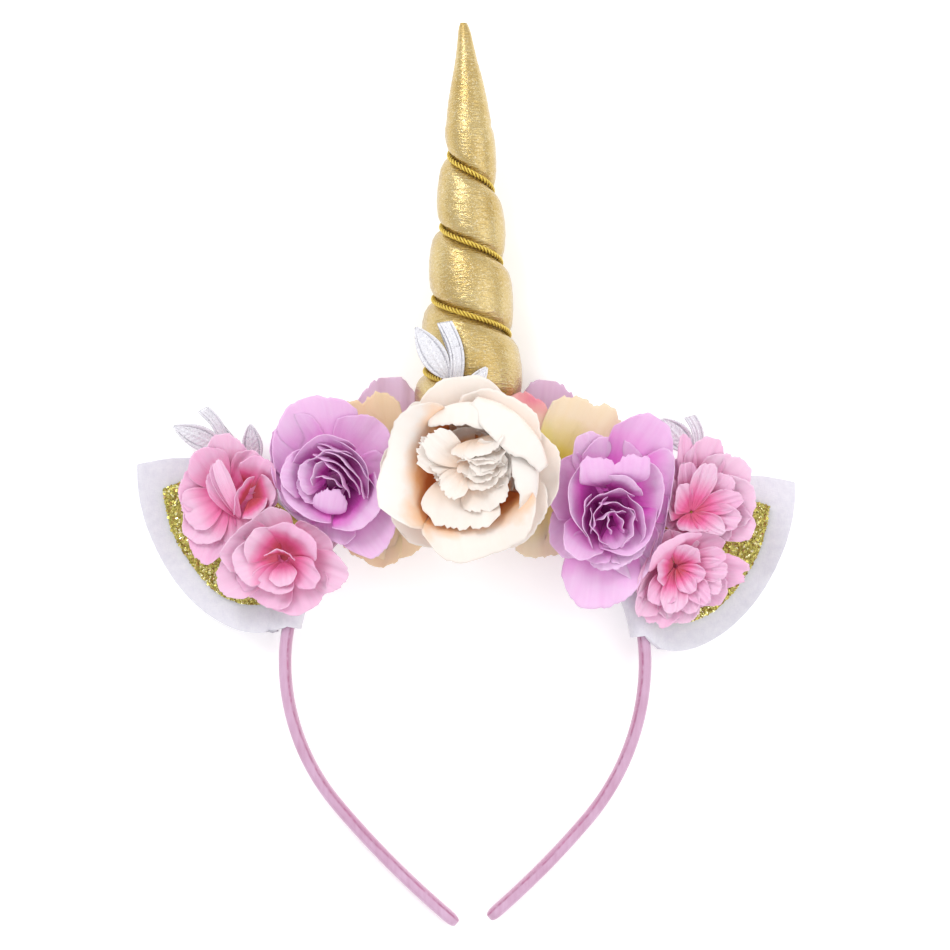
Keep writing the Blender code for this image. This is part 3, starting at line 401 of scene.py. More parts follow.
# place between two turns of the cord, and how far the cloth stands off the line over the cord, in mm
PAD = ((0.0, -1.8), (0.045, -1.5), (0.085, -0.3), (0.13, 0.9), (0.20, 1.62), (0.30, 1.88), (0.45, 1.95),
       (0.60, 1.68), (0.72, 1.25), (0.83, 0.62), (0.90, -0.15), (0.95, -1.4), (1.0, -1.8))
PAD_STEPS, PAD_BLUR = 800, 27
# how far ahead of the cord the pad begins, and how long it takes to grow, as shares of a turn
PAD_LEAD, PAD_GROWTH = 0.20, 0.14
PRESS_SOFTNESS = 0.0005
CREASE, SWELL, DENT = 0.00016, 0.00020, 0.00005
# the lame's gold, a near-white painted highlight, and a darker gold for broad random blotches and the painted
# shade by the cord
LAME = (0.565, 0.430, 0.180)
LAME_HIGHLIGHT = (0.94, 0.90, 0.76)
LAME_SHADE = (0.490, 0.340, 0.105)
DRIFT_WAVES = 7


def drift(x, y, wave, seed):
    """Smooth wandering between about -1 and 1: the mean of sine waves of this wavelength and up to 1.7 times
    longer, each running across the surface in its own seeded direction."""
    chance = np.random.default_rng(seed)
    total = 0.0
    for turn, stretch, start in chance.random((DRIFT_WAVES, 3)) * (np.pi, 0.7, 2 * np.pi) + (0, 1, 0):
        total = total + np.sin((x * np.cos(turn) + y * np.sin(turn)) * 2 * np.pi / wave / stretch + start)
    return total / DRIFT_WAVES * 1.6


def eased(share):
    """0 at 0 and 1 at 1, level at both: three times the square less twice the cube, held outside."""
    share = np.clip(share, 0, 1)
    return share * share * (3 - 2 * share)


def horn_axis(depth):
    """The horn's middle line: sideways and forward place. Its point leans to the left as depth runs out."""
    return HORN_SIDEWAYS - HORN_TIP_LEAN * np.exp(-depth / 0.02), HORN_FORWARD


def over_cord(depth):
    """Radius to the outside of the cord: it grows evenly down to where the body's taper ends."""
    return HORN_TIP_RADIUS + HORN_TAPER * np.minimum(depth, HORN_BODY_LENGTH)


def table_line(y):
    """Height in the headband's own frame at which the horn's back is pressed flat, a hair over the table."""
    return -HORN_BACK + HORN_TABLE_GAP - (y - HORN_FOOT - HORN_FOOT_ROUNDING) * math.tan(REST_TILT)


def horn_skin(rows=430, columns=168):
    """Radius as a function of depth and angle: the smooth point, then the line over the cord plus the pad's
    profile at this place between two turns, with short creases that fade away from the cord. The foot is
    drawn in by a fifth along a quarter ellipse, and the back is softly held above the table's line."""
    depth = np.linspace(0, 1, rows)[:, None] ** 1.04 * HORN_LENGTH
    angle = np.pi - 2 * np.pi * np.arange(columns)[None] / columns
    turn = (depth - FIRST_GROOVE) / GROOVE_PITCH
    place = (turn - (np.pi - angle) / (2 * np.pi)) % 1.0
    table_places = np.arange(PAD_STEPS) / PAD_STEPS
    stand = np.interp(table_places, *zip(*PAD)) / 1000
    blur = np.hanning(PAD_BLUR)
    stand = np.convolve(np.tile(stand, 3), blur / blur.sum(), "same")[PAD_STEPS : 2 * PAD_STEPS]
    wound = over_cord(depth) + np.interp(place, table_places, stand, period=1.0)
    smooth = np.interp(depth, *zip(*SMOOTH_POINT))
    share = eased((turn - CORD_START + PAD_LEAD) / PAD_GROWTH)
    radius = smooth + (wound - smooth) * share
    around = angle * radius
    from_cord = np.minimum(place, 1 - place) * GROOVE_PITCH
    near = np.exp(-from_cord / 0.0030) * share * np.clip((from_cord - 0.0010) / 0.001, 0, 1)
    radius = radius + CREASE * near * drift(around, depth * 0.12, 0.0026, 3)
    radius = radius + SWELL * drift(around * 0.7, depth, 0.016, 5) * np.clip(depth / 0.02, 0, 1)
    radius = radius + DENT * drift(around * 0.5, depth, 0.0022, 8) * np.clip(depth / 0.01, 0, 1)
    left = np.clip((HORN_LENGTH - depth) / HORN_FOOT_ROUNDING, 0, 1)
    radius = radius * (0.80 + 0.20 * np.sqrt(1 - (1 - left) ** 2))
    across, forward = horn_axis(depth)
    grid = np.zeros((rows, columns, 3))
    grid[..., 0] = across + radius * np.cos(angle)
    grid[..., 1] = HORN_FOOT + HORN_LENGTH - depth
    flat = table_line(grid[..., 1])
    z = forward + radius * np.sin(angle)
    grid[..., 2] = (z + flat + np.sqrt((z - flat) ** 2 + PRESS_SOFTNESS * PRESS_SOFTNESS)) / 2
    return grid, {"from_cord": from_cord * 1000}


horn_grid, horn_marks = horn_skin()
horn_mesh = surface("horn_cloth", horn_grid, around=True, capped=True, marks=horn_marks)
face_out(horn_mesh)

lame = Finish("gold_lame", Metallic=0.85, Specular_IOR_Level=0.6, Coat_Weight=0.25, Coat_Roughness=0.2)
from_cord = lame.mark("from_cord")
crinkle = lame.noise(1.0, 4.0, stretch=(450, 1800, 450))
speckle = lame.noise(2600.0, 1.0)
sparks = lame.node("TexVoronoi", {"feature": "F1"}, {
    "Vector": lame.node("TexCoord", output="Object"), "Scale": 2100.0}, output="Color")
spark = lame.node("SeparateXYZ", {}, {0: sparks})
broad = lame.noise(75.0, 2.0)
glint = spark.between(0.80, 1.0)
shade = lame.blend((broad + crinkle * 0.1).between(0.35, 0.70), LAME_SHADE, LAME)
# Painted highlights: crinkle peaks and the glint cells pale the gold towards near white.
shade = lame.blend((crinkle * 0.7 + speckle * 0.5).between(0.60, 0.80) * 0.20, shade, LAME_HIGHLIGHT)
shade = lame.blend(glint * 0.22, shade, LAME_HIGHLIGHT)
# Painted shade: the cloth darkens where it dips into the groove beside the cord.
shade = lame.blend((1 - from_cord.between(0.8, 3.2)) * 0.45, shade, LAME_SHADE)
rough = 0.17 - glint * 0.06 + speckle * 0.08
bumpy = lame.raised(crinkle, 0.00036, strength=1.0)
bumpy = lame.raised(speckle, 0.00008, over=bumpy, strength=0.8)
lame.wear(Base_Color=shade, Roughness=rough, Normal=bumpy)

horn = new_piece("horn_cloth", horn_mesh, lame)
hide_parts("horn")


# Horn cord
# Three bright gold metallic yarns twisted together. The cord starts behind the horn's point, winds down the
# groove that it pulls into the cloth, and ends behind the cream rose.

CORD_RADIUS = 0.0010
YARN_RADIUS = 0.00042
YARN_OFFSET = 0.00048
TWIST = 0.0042
# the yarn's bright gold, and a dark brown for its random flecks and for painted shade
CORD_BRIGHT = (1.0, 0.80, 0.150)
CORD_DARK_AND_SHADE = (0.42, 0.200, 0.012)


def wound_yarns(steps=1300, yarns=3, sides=9):
    """The cord's middle runs down a spiral on the groove's floor. Each yarn's middle circles it once per
    twist, and each yarn is a tube of the same radius round its own middle, thinned at its two ends."""
    turn = np.linspace(CORD_START, CORD_END, steps)
    depth = FIRST_GROOVE + GROOVE_PITCH * turn
    angle = np.pi - 2 * np.pi * turn
    across, forward = horn_axis(depth)
    seat = over_cord(depth) - CORD_RADIUS
    outward = np.stack([np.cos(angle), 0 * angle, np.sin(angle)], axis=1)
    middle = np.stack([across, HORN_FOOT + HORN_LENGTH - depth, forward + 0 * depth], axis=1)
    middle = middle + outward * seat[:, None]
    along = np.concatenate([[0], np.cumsum(np.linalg.norm(np.diff(middle, axis=0), axis=1))])
    way = np.gradient(middle, axis=0)
    way /= np.linalg.norm(way, axis=1, keepdims=True)
    beside = np.cross(way, outward)
    thin = np.sqrt(np.clip(np.minimum(along, along[-1] - along) / 0.0012, 0.05, 1))
    lay = 2 * np.pi * (along[None] / TWIST + np.arange(yarns)[:, None] / yarns)
    centre = middle[None] + YARN_OFFSET * thin[None, :, None] * (
        np.cos(lay)[..., None] * outward[None] + np.sin(lay)[..., None] * beside[None]
    )
    ring = 2 * np.pi * np.arange(sides) / sides
    spoke = np.cos(ring)[:, None] * outward[:, None] + np.sin(ring)[:, None] * beside[:, None]
    grid = centre[:, :, None] + YARN_RADIUS * thin[None, :, None, None] * spoke[None]
    from_core = np.linalg.norm(grid - middle[None, :, None], axis=-1) / (YARN_OFFSET + YARN_RADIUS)
    return grid, {
        "lengthwise": along[None, :, None], "round": np.cos(ring)[None, None], "from_core": from_core
    }


yarn_grid, yarn_marks = wound_yarns()
cord_mesh = surface("gold_cord", yarn_grid, around=True, capped=True, marks=yarn_marks)
face_out(cord_mesh)

gold_yarn = Finish("gold_yarn", Metallic=0.6, Specular_IOR_Level=0.6, Coat_Weight=0.3, Coat_Roughness=0.15)
fibre = gold_yarn.node("TexWave", {"wave_type": "BANDS", "bands_direction": "X"}, {
    "Vector": gold_yarn.node("CombineXYZ", {}, {
        0: gold_yarn.mark("lengthwise") * 900.0 + gold_yarn.mark("round") * 0.9}),
    "Scale": 1.0, "Distortion": 1.0}, output="Fac")
flecks = gold_yarn.noise(1700.0, 2.0)
colour = gold_yarn.blend((fibre * 0.35 + flecks * 0.9).between(0.15, 0.70), CORD_DARK_AND_SHADE, CORD_BRIGHT)
# Painted shade: the yarns darken towards the cord's core, in the valleys where they meet.
colour = gold_yarn.blend((1 - gold_yarn.mark("from_core").between(0.62, 0.96)) * 0.75, colour, CORD_DARK_AND_SHADE)
gold_yarn.wear(Base_Color=colour, Roughness=0.24 + flecks * 0.25,
               Normal=gold_yarn.raised(fibre, 0.00008, strength=0.8))

cord = new_piece("gold_cord", cord_mesh, gold_yarn)
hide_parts("horn_cord")


# Ears
# Each ear is one piece of soft white felt. It comes over the band from the back, folds round its inner side
# and runs out over its front into a quarter disc, which droops until it lies on the table. Glue holds it.

FELT = 0.0020
GLUE = 0.0004
WRAP_OUT = BAND_THICKNESS / 2 + GLUE + FELT / 2
WRAP_FRONT = BAND_WIDTH / 2 + GLUE + FELT / 2
FLAP = 0.0045
FOLD_START, FOLD_RUN = 0.0004, 0.0036
FELT_WAVER = 0.00022
FELT_FRAY = 0.00010
EAR_RADIUS = 0.0581
EAR_DROOP_SPAN = 0.045
EAR_TABLE_GAP = 0.0006
# the side of each ear, its quarter disc's middle, and the angles round the band between which it is folded
EARS = {
    "left": {"side": -1, "middle": (-0.05775, 0.0707), "cuff": (168.5, 140.0)},
    "right": {"side": 1, "middle": (0.05845, 0.0644), "cuff": (8.5, 38.0)},
}
# degrees below level from the quarter disc's middle, and share of its radius, from the foot round to the top
EAR_OUTLINE = (
    (81.0, 1.040), (76.0, 1.075), (69.0, 1.092), (60.0, 1.087), (50.0, 1.070), (40.0, 1.050),
    (29.0, 1.030), (16.0, 1.015), (1.5, 1.000), (-0.8, 0.80), (-1.5, 0.55), (-2.0, 0.30),
)
EAR_CORNER = 8  # where the outline's curve ends and its straight top begins
FELT_WHITE = (0.750, 0.745, 0.795)
FELT_SHADE = (0.640, 0.630, 0.715)


def through(values, places):
    """A smooth curve through evenly numbered values: between two of them, the cubic whose slopes there are
    half the step from the value before to the value after."""
    values = np.asarray(values, float)
    padded = np.concatenate([[2 * values[0] - values[1]], values, [2 * values[-1] - values[-2]]])
    whole = np.clip(np.floor(places).astype(int), 0, len(values) - 2)
    t = (places - whole).reshape(-1, *[1] * (values.ndim - 1))
    a, b, c, d = (padded[whole + k] for k in range(4))
    return b + t * ((c - a) / 2 + t * (a - 2.5 * b + 2 * c - d / 2 + t * (1.5 * (b - c) + (d - a) / 2)))


def outline_places(corner, last, curved=64, straight=18):
    """Places along an outline's table: fine round its curve, and again from its corner to the end."""
    return np.concatenate([np.linspace(0, corner, curved), np.linspace(corner, last, straight)[1:]])


def outline_points(ear, outline, corner, places):
    """The outline's points: smooth up to the corner, straight from there on."""
    table = np.array(outline)
    curve = through(table[: corner + 1], np.minimum(places, corner))
    top = np.stack([np.interp(places, np.arange(len(table)), table[:, k]) for k in (0, 1)], axis=1)
    down, share = np.where(places[:, None] <= corner, curve, top).T
    turn = np.radians(down)
    return np.stack([
        ear["middle"][0] + ear["side"] * EAR_RADIUS * share * np.cos(turn),
        ear["middle"][1] - EAR_RADIUS * share * np.sin(turn),
    ], axis=1)


def felt_rise(x, y):
    """Height of the felt's middle: over the band's front it stands at the fold's height and eases down just
    outside the band; further out it eases down to the table, with a slight waver."""
    away = np.hypot(x, y) - BAND_RADIUS
    fold = WRAP_FRONT * (1 - eased((away - FOLD_START) / (WRAP_OUT + FOLD_RUN)))
    reach = eased((away - BAND_THICKNESS) / EAR_DROOP_SPAN)
    table_here = table_line(y) - HORN_TABLE_GAP + FELT / 2 + EAR_TABLE_GAP
    return fold + table_here * reach + FELT_WAVER * drift(x, y, 0.03, 11) * eased((away - 0.008) / 0.02)


def ear_felt(ear, wrap=34, sheet=34):
    """Rows run along the fold. Across a row the felt's middle starts under the sheet as a flap, goes round
    the back, the inner side and the front of the band on a rounded box, and runs straight to the outline,
    where it is a little frayed."""
    last = len(EAR_OUTLINE) - 1
    places = outline_places(EAR_CORNER, last)
    first_angle, last_angle = ear["cuff"]
    angle = np.radians(first_angle + (last_angle - first_angle) * places / last)[:, None]
    out_x, out_y = np.cos(angle), np.sin(angle)
    flap = np.linspace(1, 0, 8)[None, :-1]
    ring = np.linspace(-0.5 * np.pi + 0.25, -1.5 * np.pi - 0.05, wrap)
    away = np.sign(np.cos(ring)) * np.abs(np.cos(ring)) ** 0.75 * WRAP_OUT
    front = np.sign(np.sin(ring)) * np.abs(np.sin(ring)) ** 0.75 * WRAP_FRONT
    under_x = away[0] + (WRAP_OUT + FLAP - away[0]) * flap
    under_z = front[0] + (-FELT * 1.12 - front[0]) * eased(flap)
    a = np.concatenate([under_x[0], away])[None] + 0 * angle
    b = np.concatenate([under_z[0], front])[None] + 0 * angle
    radius = BAND_RADIUS + a
    folded = np.stack([radius * out_x, radius * out_y, b], axis=-1)
    outer = outline_points(ear, EAR_OUTLINE, EAR_CORNER, places)
    start = folded[:, -1, :2]
    t = (np.linspace(0, 1, sheet + 1)[1:] ** 1.25)[None, :, None]
    flat = start[:, None] * (1 - t) + outer[:, None] * t
    height = felt_rise(flat[..., 0], flat[..., 1])
    grid = np.concatenate([folded, np.concatenate([flat, height[..., None]], axis=-1)], axis=1)
    fray = FELT_FRAY * drift(grid[..., 0], grid[..., 1], 0.0017, 21)
    grid[:, -1, :2] += fray[:, -1:] * (outer - start) / np.linalg.norm(outer - start, axis=1, keepdims=True)
    return grid


def thicken(piece, thickness, round_edge=0.0, even=True):
    """Gives a sheet its thickness, with softened edges where asked."""
    shell = piece.modifiers.new("thickness", "SOLIDIFY")
    shell.thickness, shell.offset, shell.use_even_offset = thickness, 0.0, even
    if round_edge:
        edge = piece.modifiers.new("soft_edge", "BEVEL")
        edge.width, edge.segments = round_edge, 2
        edge.limit_method, edge.angle_limit = "ANGLE", math.radians(60)


def flat_area(grid):
    """Area of a grid's surface: the cross products of its cells' two diagonals, halved and summed."""
    one, two = grid[1:, 1:] - grid[:-1, :-1], grid[1:, :-1] - grid[:-1, 1:]
    return float(np.linalg.norm(np.cross(one, two), axis=-1).sum() / 2)


felt = Finish("white_felt", Roughness=0.95, Sheen_Weight=0.35, Sheen_Roughness=0.5, Specular_IOR_Level=0.15)
matted = felt.noise(420.0, 5.0)
hairs = felt.noise(1.0, 4.0, stretch=(2600, 700, 1600))
hairs_across = felt.noise(1.0, 4.0, stretch=(700, 2600, 1600))
fuzz = felt.noise(5200.0, 1.0)
mottle = (matted * 0.6 + hairs * 0.25 + hairs_across * 0.25).between(0.30, 0.72)
colour = felt.blend(mottle, FELT_SHADE, FELT_WHITE)
nap = felt.raised(hairs + hairs_across, 0.00012, strength=0.55)
nap = felt.raised(matted, 0.00030, over=nap, strength=0.35)
felt.wear(Base_Color=colour, Normal=felt.raised(fuzz, 0.00003, over=nap, strength=0.4))

for side, ear in EARS.items():
    grid = ear_felt(ear)
    mesh = surface(f"felt_ear_{side}", grid if side == "left" else grid[::-1])
    piece = new_piece(f"felt_ear_{side}", mesh, felt)
    thicken(piece, FELT, round_edge=0.0004)
    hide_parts(f"ear_{side}")
    flat_area(grid)


# Glitter inner ears
# A smaller quarter disc of cloth, thickly covered in loose-cut gold glitter and glued on each ear. The flakes
# are little six-sided plates that lie at all angles, and a few catch the light; those are also painted a pale
# bright gold as glints.

GLITTER = 0.0010
GLITTER_INNER = 0.0068
GLITTER_LIFT = FELT / 2 + 0.00096 + GLITTER / 2
GLITTER_START = 0.30  # share of the way up the felt's fold
GLITTER_RAGGED = 0.00022
GLITTER_OUTLINE = (
    (79.5, 0.862), (73.0, 0.905), (66.0, 0.935), (57.5, 0.940), (49.0, 0.925), (39.0, 0.905),
    (29.0, 0.893), (19.0, 0.870), (11.5, 0.858), (10.0, 0.71), (8.0, 0.52), (6.0, 0.38),
)
FLAKES = 6500
FLAKE_LEAN = 0.36
FLAKE_SIZE = (0.00030, 0.00062)
FLAKE_STAND = (0.00004, 0.00030)  # least height over the cloth, and how much more by chance
GLITTER_DARK = (0.330, 0.280, 0.045)
GLITTER_GOLD = (0.640, 0.575, 0.145)
GLITTER_GLINT = (1.0, 0.97, 0.62)


def glitter_cloth(ear, rows=26):
    """Straight runs from beside the band to the outline, on the felt's face. The lowest starts some way up
    the felt's fold."""
    last = len(GLITTER_OUTLINE) - 1
    places = outline_places(EAR_CORNER, last)
    first_angle, last_angle = ear["cuff"]
    up = GLITTER_START + (1 - GLITTER_START) * places / last
    angle = np.radians(first_angle + (last_angle - first_angle) * up)
    inner = (BAND_RADIUS + GLITTER_INNER) * np.stack([np.cos(angle), np.sin(angle)], axis=1)
    outer = outline_points(ear, GLITTER_OUTLINE, EAR_CORNER, places)
    ragged = GLITTER_RAGGED * drift(outer[:, 0], outer[:, 1], 0.0011, 31)[:, None]
    outer = outer + ragged * (outer - inner) / np.linalg.norm(outer - inner, axis=1, keepdims=True)
    t = np.linspace(0, 1, rows)[None, :, None]
    flat = inner[:, None] * (1 - t) + outer[:, None] * t
    height = felt_rise(flat[..., 0], flat[..., 1]) + GLITTER_LIFT
    return np.concatenate([flat, height[..., None]], axis=-1)


def glitter_flakes(grid, seed):
    """Seeded places on the cloth. At each, a hexagon turned and leaning by chance, over one point below its
    middle, which closes it. Each flake keeps one tone."""
    chance = np.random.default_rng(seed)
    rows, columns = grid.shape[:2]
    i = chance.random(FLAKES) * (rows - 1.001)
    j = np.sqrt(chance.random(FLAKES) * 0.9 + 0.1) * (columns - 1.001)
    low_i, low_j = i.astype(int), j.astype(int)
    u, v = (i - low_i)[:, None], (j - low_j)[:, None]
    corner = grid[low_i, low_j]
    next_i, next_j = grid[low_i + 1, low_j], grid[low_i, low_j + 1]
    far = grid[low_i + 1, low_j + 1]
    place = corner * (1 - u) * (1 - v) + next_i * u * (1 - v) + next_j * (1 - u) * v + far * u * v
    lean = chance.normal(0, FLAKE_LEAN, (FLAKES, 2))
    normal = np.stack([lean[:, 0], lean[:, 1], np.ones(FLAKES)], axis=1)
    normal /= np.linalg.norm(normal, axis=1, keepdims=True)
    spin = chance.random(FLAKES) * np.pi
    across = np.stack([np.cos(spin), np.sin(spin), 0 * spin], axis=1)
    across -= normal * np.sum(across * normal, axis=1, keepdims=True)
    across /= np.linalg.norm(across, axis=1, keepdims=True)
    beside = np.cross(normal, across)
    size = FLAKE_SIZE[0] + (FLAKE_SIZE[1] - FLAKE_SIZE[0]) * chance.random(FLAKES) ** 1.6
    ring = np.arange(6) * np.pi / 3
    stand = GLITTER / 2 + FLAKE_STAND[0] + FLAKE_STAND[1] * chance.random((FLAKES, 1))
    middle = place + np.array([0, 0, 1]) * stand
    rim = middle[:, None] + size[:, None, None] * (
        np.cos(ring)[None, :, None] * across[:, None] + np.sin(ring)[None, :, None] * beside[:, None]
    )
    points = np.concatenate([rim, (middle - normal * size[:, None] * 0.5)[:, None]], axis=1)
    start = np.arange(FLAKES)[:, None] * 7
    tops = (start + np.arange(6)).tolist()
    near, ahead = np.arange(6), (np.arange(6) + 1) % 6
    skirts = np.stack([start + ahead, start + near, start + 6 + 0 * near], axis=-1).reshape(-1, 3).tolist()
    tone = np.repeat(chance.random(FLAKES), 7)
    return points.reshape(-1, 3), tops + skirts, tone


glitter = Finish("gold_glitter", Specular_IOR_Level=0.7)
tone = glitter.mark("tone")
grit = glitter.noise(2400.0, 2.0)
colour = glitter.blend(tone.between(0.05, 0.62), GLITTER_DARK, GLITTER_GOLD)
# Painted glints: flakes of the highest tones take a pale bright gold.
colour = glitter.blend(tone.between(0.80, 0.97), colour, GLITTER_GLINT)
colour = glitter.blend(grit.between(0.35, 0.8) * 0.35, colour, GLITTER_DARK)
glitter.wear(Base_Color=colour, Metallic=0.55 + tone * 0.35, Roughness=0.38 - tone * 0.2,
             Normal=glitter.raised(grit, 0.00012, strength=0.6))

for number, (side, ear) in enumerate(EARS.items()):
    grid = glitter_cloth(ear)
    cloth = surface(f"glitter_cloth_{side}", grid if side == "left" else grid[::-1], marks={"tone": 0.3})
    backing = new_piece(f"glitter_cloth_{side}", cloth, glitter)
    thicken(backing, GLITTER, even=False)
    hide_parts(f"ear_glitter_{side}")
    points, faces, tones = glitter_flakes(grid, 40 + number)
    mesh = bpy.data.meshes.new(f"glitter_flakes_{side}")
    mesh.from_pydata(at_rest(points), [], faces)
    mesh.attributes.new("tone", "FLOAT", "POINT").data.foreach_set("value", tones.astype(np.float32))
    flakes = new_piece(f"glitter_flakes_{side}", mesh, glitter)
    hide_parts(f"ear_glitter_{side}")
    flat_area(grid)


# Roses
# Cut and heat-shaped cloth petals, ring over ring. Under each blossom its gathered cloth is wound into a
# short pleated foot with a round backing, and the foot is glued to the band or to the ear's felt. Where two
# blossoms meet, their petals press against each other.

PETAL = 0.00022
PETAL_WIDEST = 0.72  # share of the way from a petal's root to its rim
PETALS_OVER_HORN = 0.0026
PETALS_OVER_FELT = 0.0026
LIFT_SOFTNESS = 0.0008
MEETING_GAP = 0.0004
MEETING_SOFTNESS = 0.0024
MEETING_GIVE = 0.24  # share of the way beyond the meeting plane that a pressed petal keeps
LINE_STEPS = 64  # steps in which a petal's middle line is summed
# where each blossom's petals meet, and the direction that its middle faces
HUBS = {
    "rose_cream": ((0.0014, 0.0655, 0.0222), (0, 0, 1)),
    "rose_lilac_left": ((-0.0455, 0.0630, 0.0105), (-0.12, 0.05, 1)),
    "rose_lilac_right": ((0.0500, 0.0570, 0.0105), (0.10, 0, 1)),
    "pink_bloom_left_upper": ((-0.0820, 0.0585, 0.0072), (0, 0, 1)),
    "pink_bloom_left_lower": ((-0.0625, 0.0375, 0.0100), (-0.15, -0.15, 1)),
    "pink_bloom_right_upper": ((0.0815, 0.0580, 0.0064), (0, 0, 1)),
    "pink_bloom_right_lower": ((0.0760, 0.0310, 0.0060), (0.15, -0.1, 1)),
    "peach_blossom_left": ((-0.0268, 0.0575, 0.0060), (0, 0, 1)),
    "peach_blossom_right": ((0.0278, 0.0575, 0.0060), (0, 0, 1)),
    "lilac_blossom_left": ((-0.02617, 0.06319, -0.0035), (0, 0.05, 1)),
    "lilac_blossom_right": ((0.02617, 0.06319, -0.0035), (0, 0.05, 1)),
}
FOOT_SUNK, FOOT_OVER_HUB = 0.0002, 0.0003
FOOT_PLEATS = 12
# each foot's seat, whose height follows the felt where it says None, the point that bends the foot, its
# radius and its backing's
BAND_FRONT = BAND_WIDTH / 2
FEET = {
    "rose_cream": ((0.0014, 0.0585, BAND_FRONT), (0.0014, 0.0600, 0.0212), 0.0050, 0.0085),
    "rose_lilac_left": ((-0.0370, 0.0510, BAND_FRONT), (-0.0430, 0.0590, 0.0097), 0.0050, 0.0068),
    "rose_lilac_right": ((0.0416, 0.0473, BAND_FRONT), (0.0480, 0.0550, 0.0097), 0.0050, 0.0071),
    "pink_bloom_left_upper": ((-0.0820, 0.0585, None), (-0.0820, 0.0585, 0.0064), 0.0034, 0.0052),
    "pink_bloom_left_lower": ((-0.0540, 0.0324, 0.0062), (-0.0622, 0.0373, 0.0094), 0.0034, 0.0052),
    "pink_bloom_right_upper": ((0.0815, 0.0580, None), (0.0815, 0.0580, 0.0056), 0.0034, 0.0052),
    "pink_bloom_right_lower": ((0.0750, 0.0310, None), (0.0759, 0.0310, 0.0052), 0.0034, 0.0052),
    "peach_blossom_left": ((-0.0266, 0.0571, BAND_FRONT), (-0.0268, 0.0575, 0.0054), 0.0034, 0.0046),
    "peach_blossom_right": ((0.0276, 0.0566, BAND_FRONT), (0.0278, 0.0575, 0.0054), 0.0034, 0.0046),
    "lilac_blossom_left": ((-0.0249, 0.0602, -0.0010), (-0.0261, 0.0630, -0.0038), 0.0028, 0.0042),
    "lilac_blossom_right": ((0.0249, 0.0602, -0.0010), (0.0261, 0.0630, -0.0038), 0.0028, 0.0042),
}
# share of the way up the foot, then its radius as shares of the foot's radius and of the backing's
FOOT_SHAPE = ((0.0, 1.10, 0.0), (0.06, 1.12, 0.0), (0.16, 0.98, 0.0), (0.45, 0.90, 0.0), (0.80, 0.95, 0.0),
              (0.90, 0.5, 0.5), (0.965, 0.0, 0.97), (0.985, 0.0, 1.0), (1.0, 0.0, 0.97))
# first blossom, second, share of the way from the first to the second where they meet, the meeting plane's
# lean, by which the second lies over the first, and its turn in degrees from square to that way
MEETINGS = (
    ("rose_lilac_left", "rose_cream", 0.50, 0.45, 0),
    ("rose_lilac_right", "rose_cream", 0.50, 0.45, 0),
    ("pink_bloom_left_upper", "rose_lilac_left", 0.55, 0.30, 0),
    ("pink_bloom_right_upper", "rose_lilac_right", 0.34, 0.30, 0),
    ("rose_lilac_left", "pink_bloom_left_lower", 0.58, 0.25, 0),
    ("rose_lilac_right", "pink_bloom_right_lower", 0.68, 0.25, 30),
    ("pink_bloom_left_upper", "pink_bloom_left_lower", 0.52, 0.35, 0),
    ("pink_bloom_right_upper", "pink_bloom_right_lower", 0.52, 0.35, 0),
)
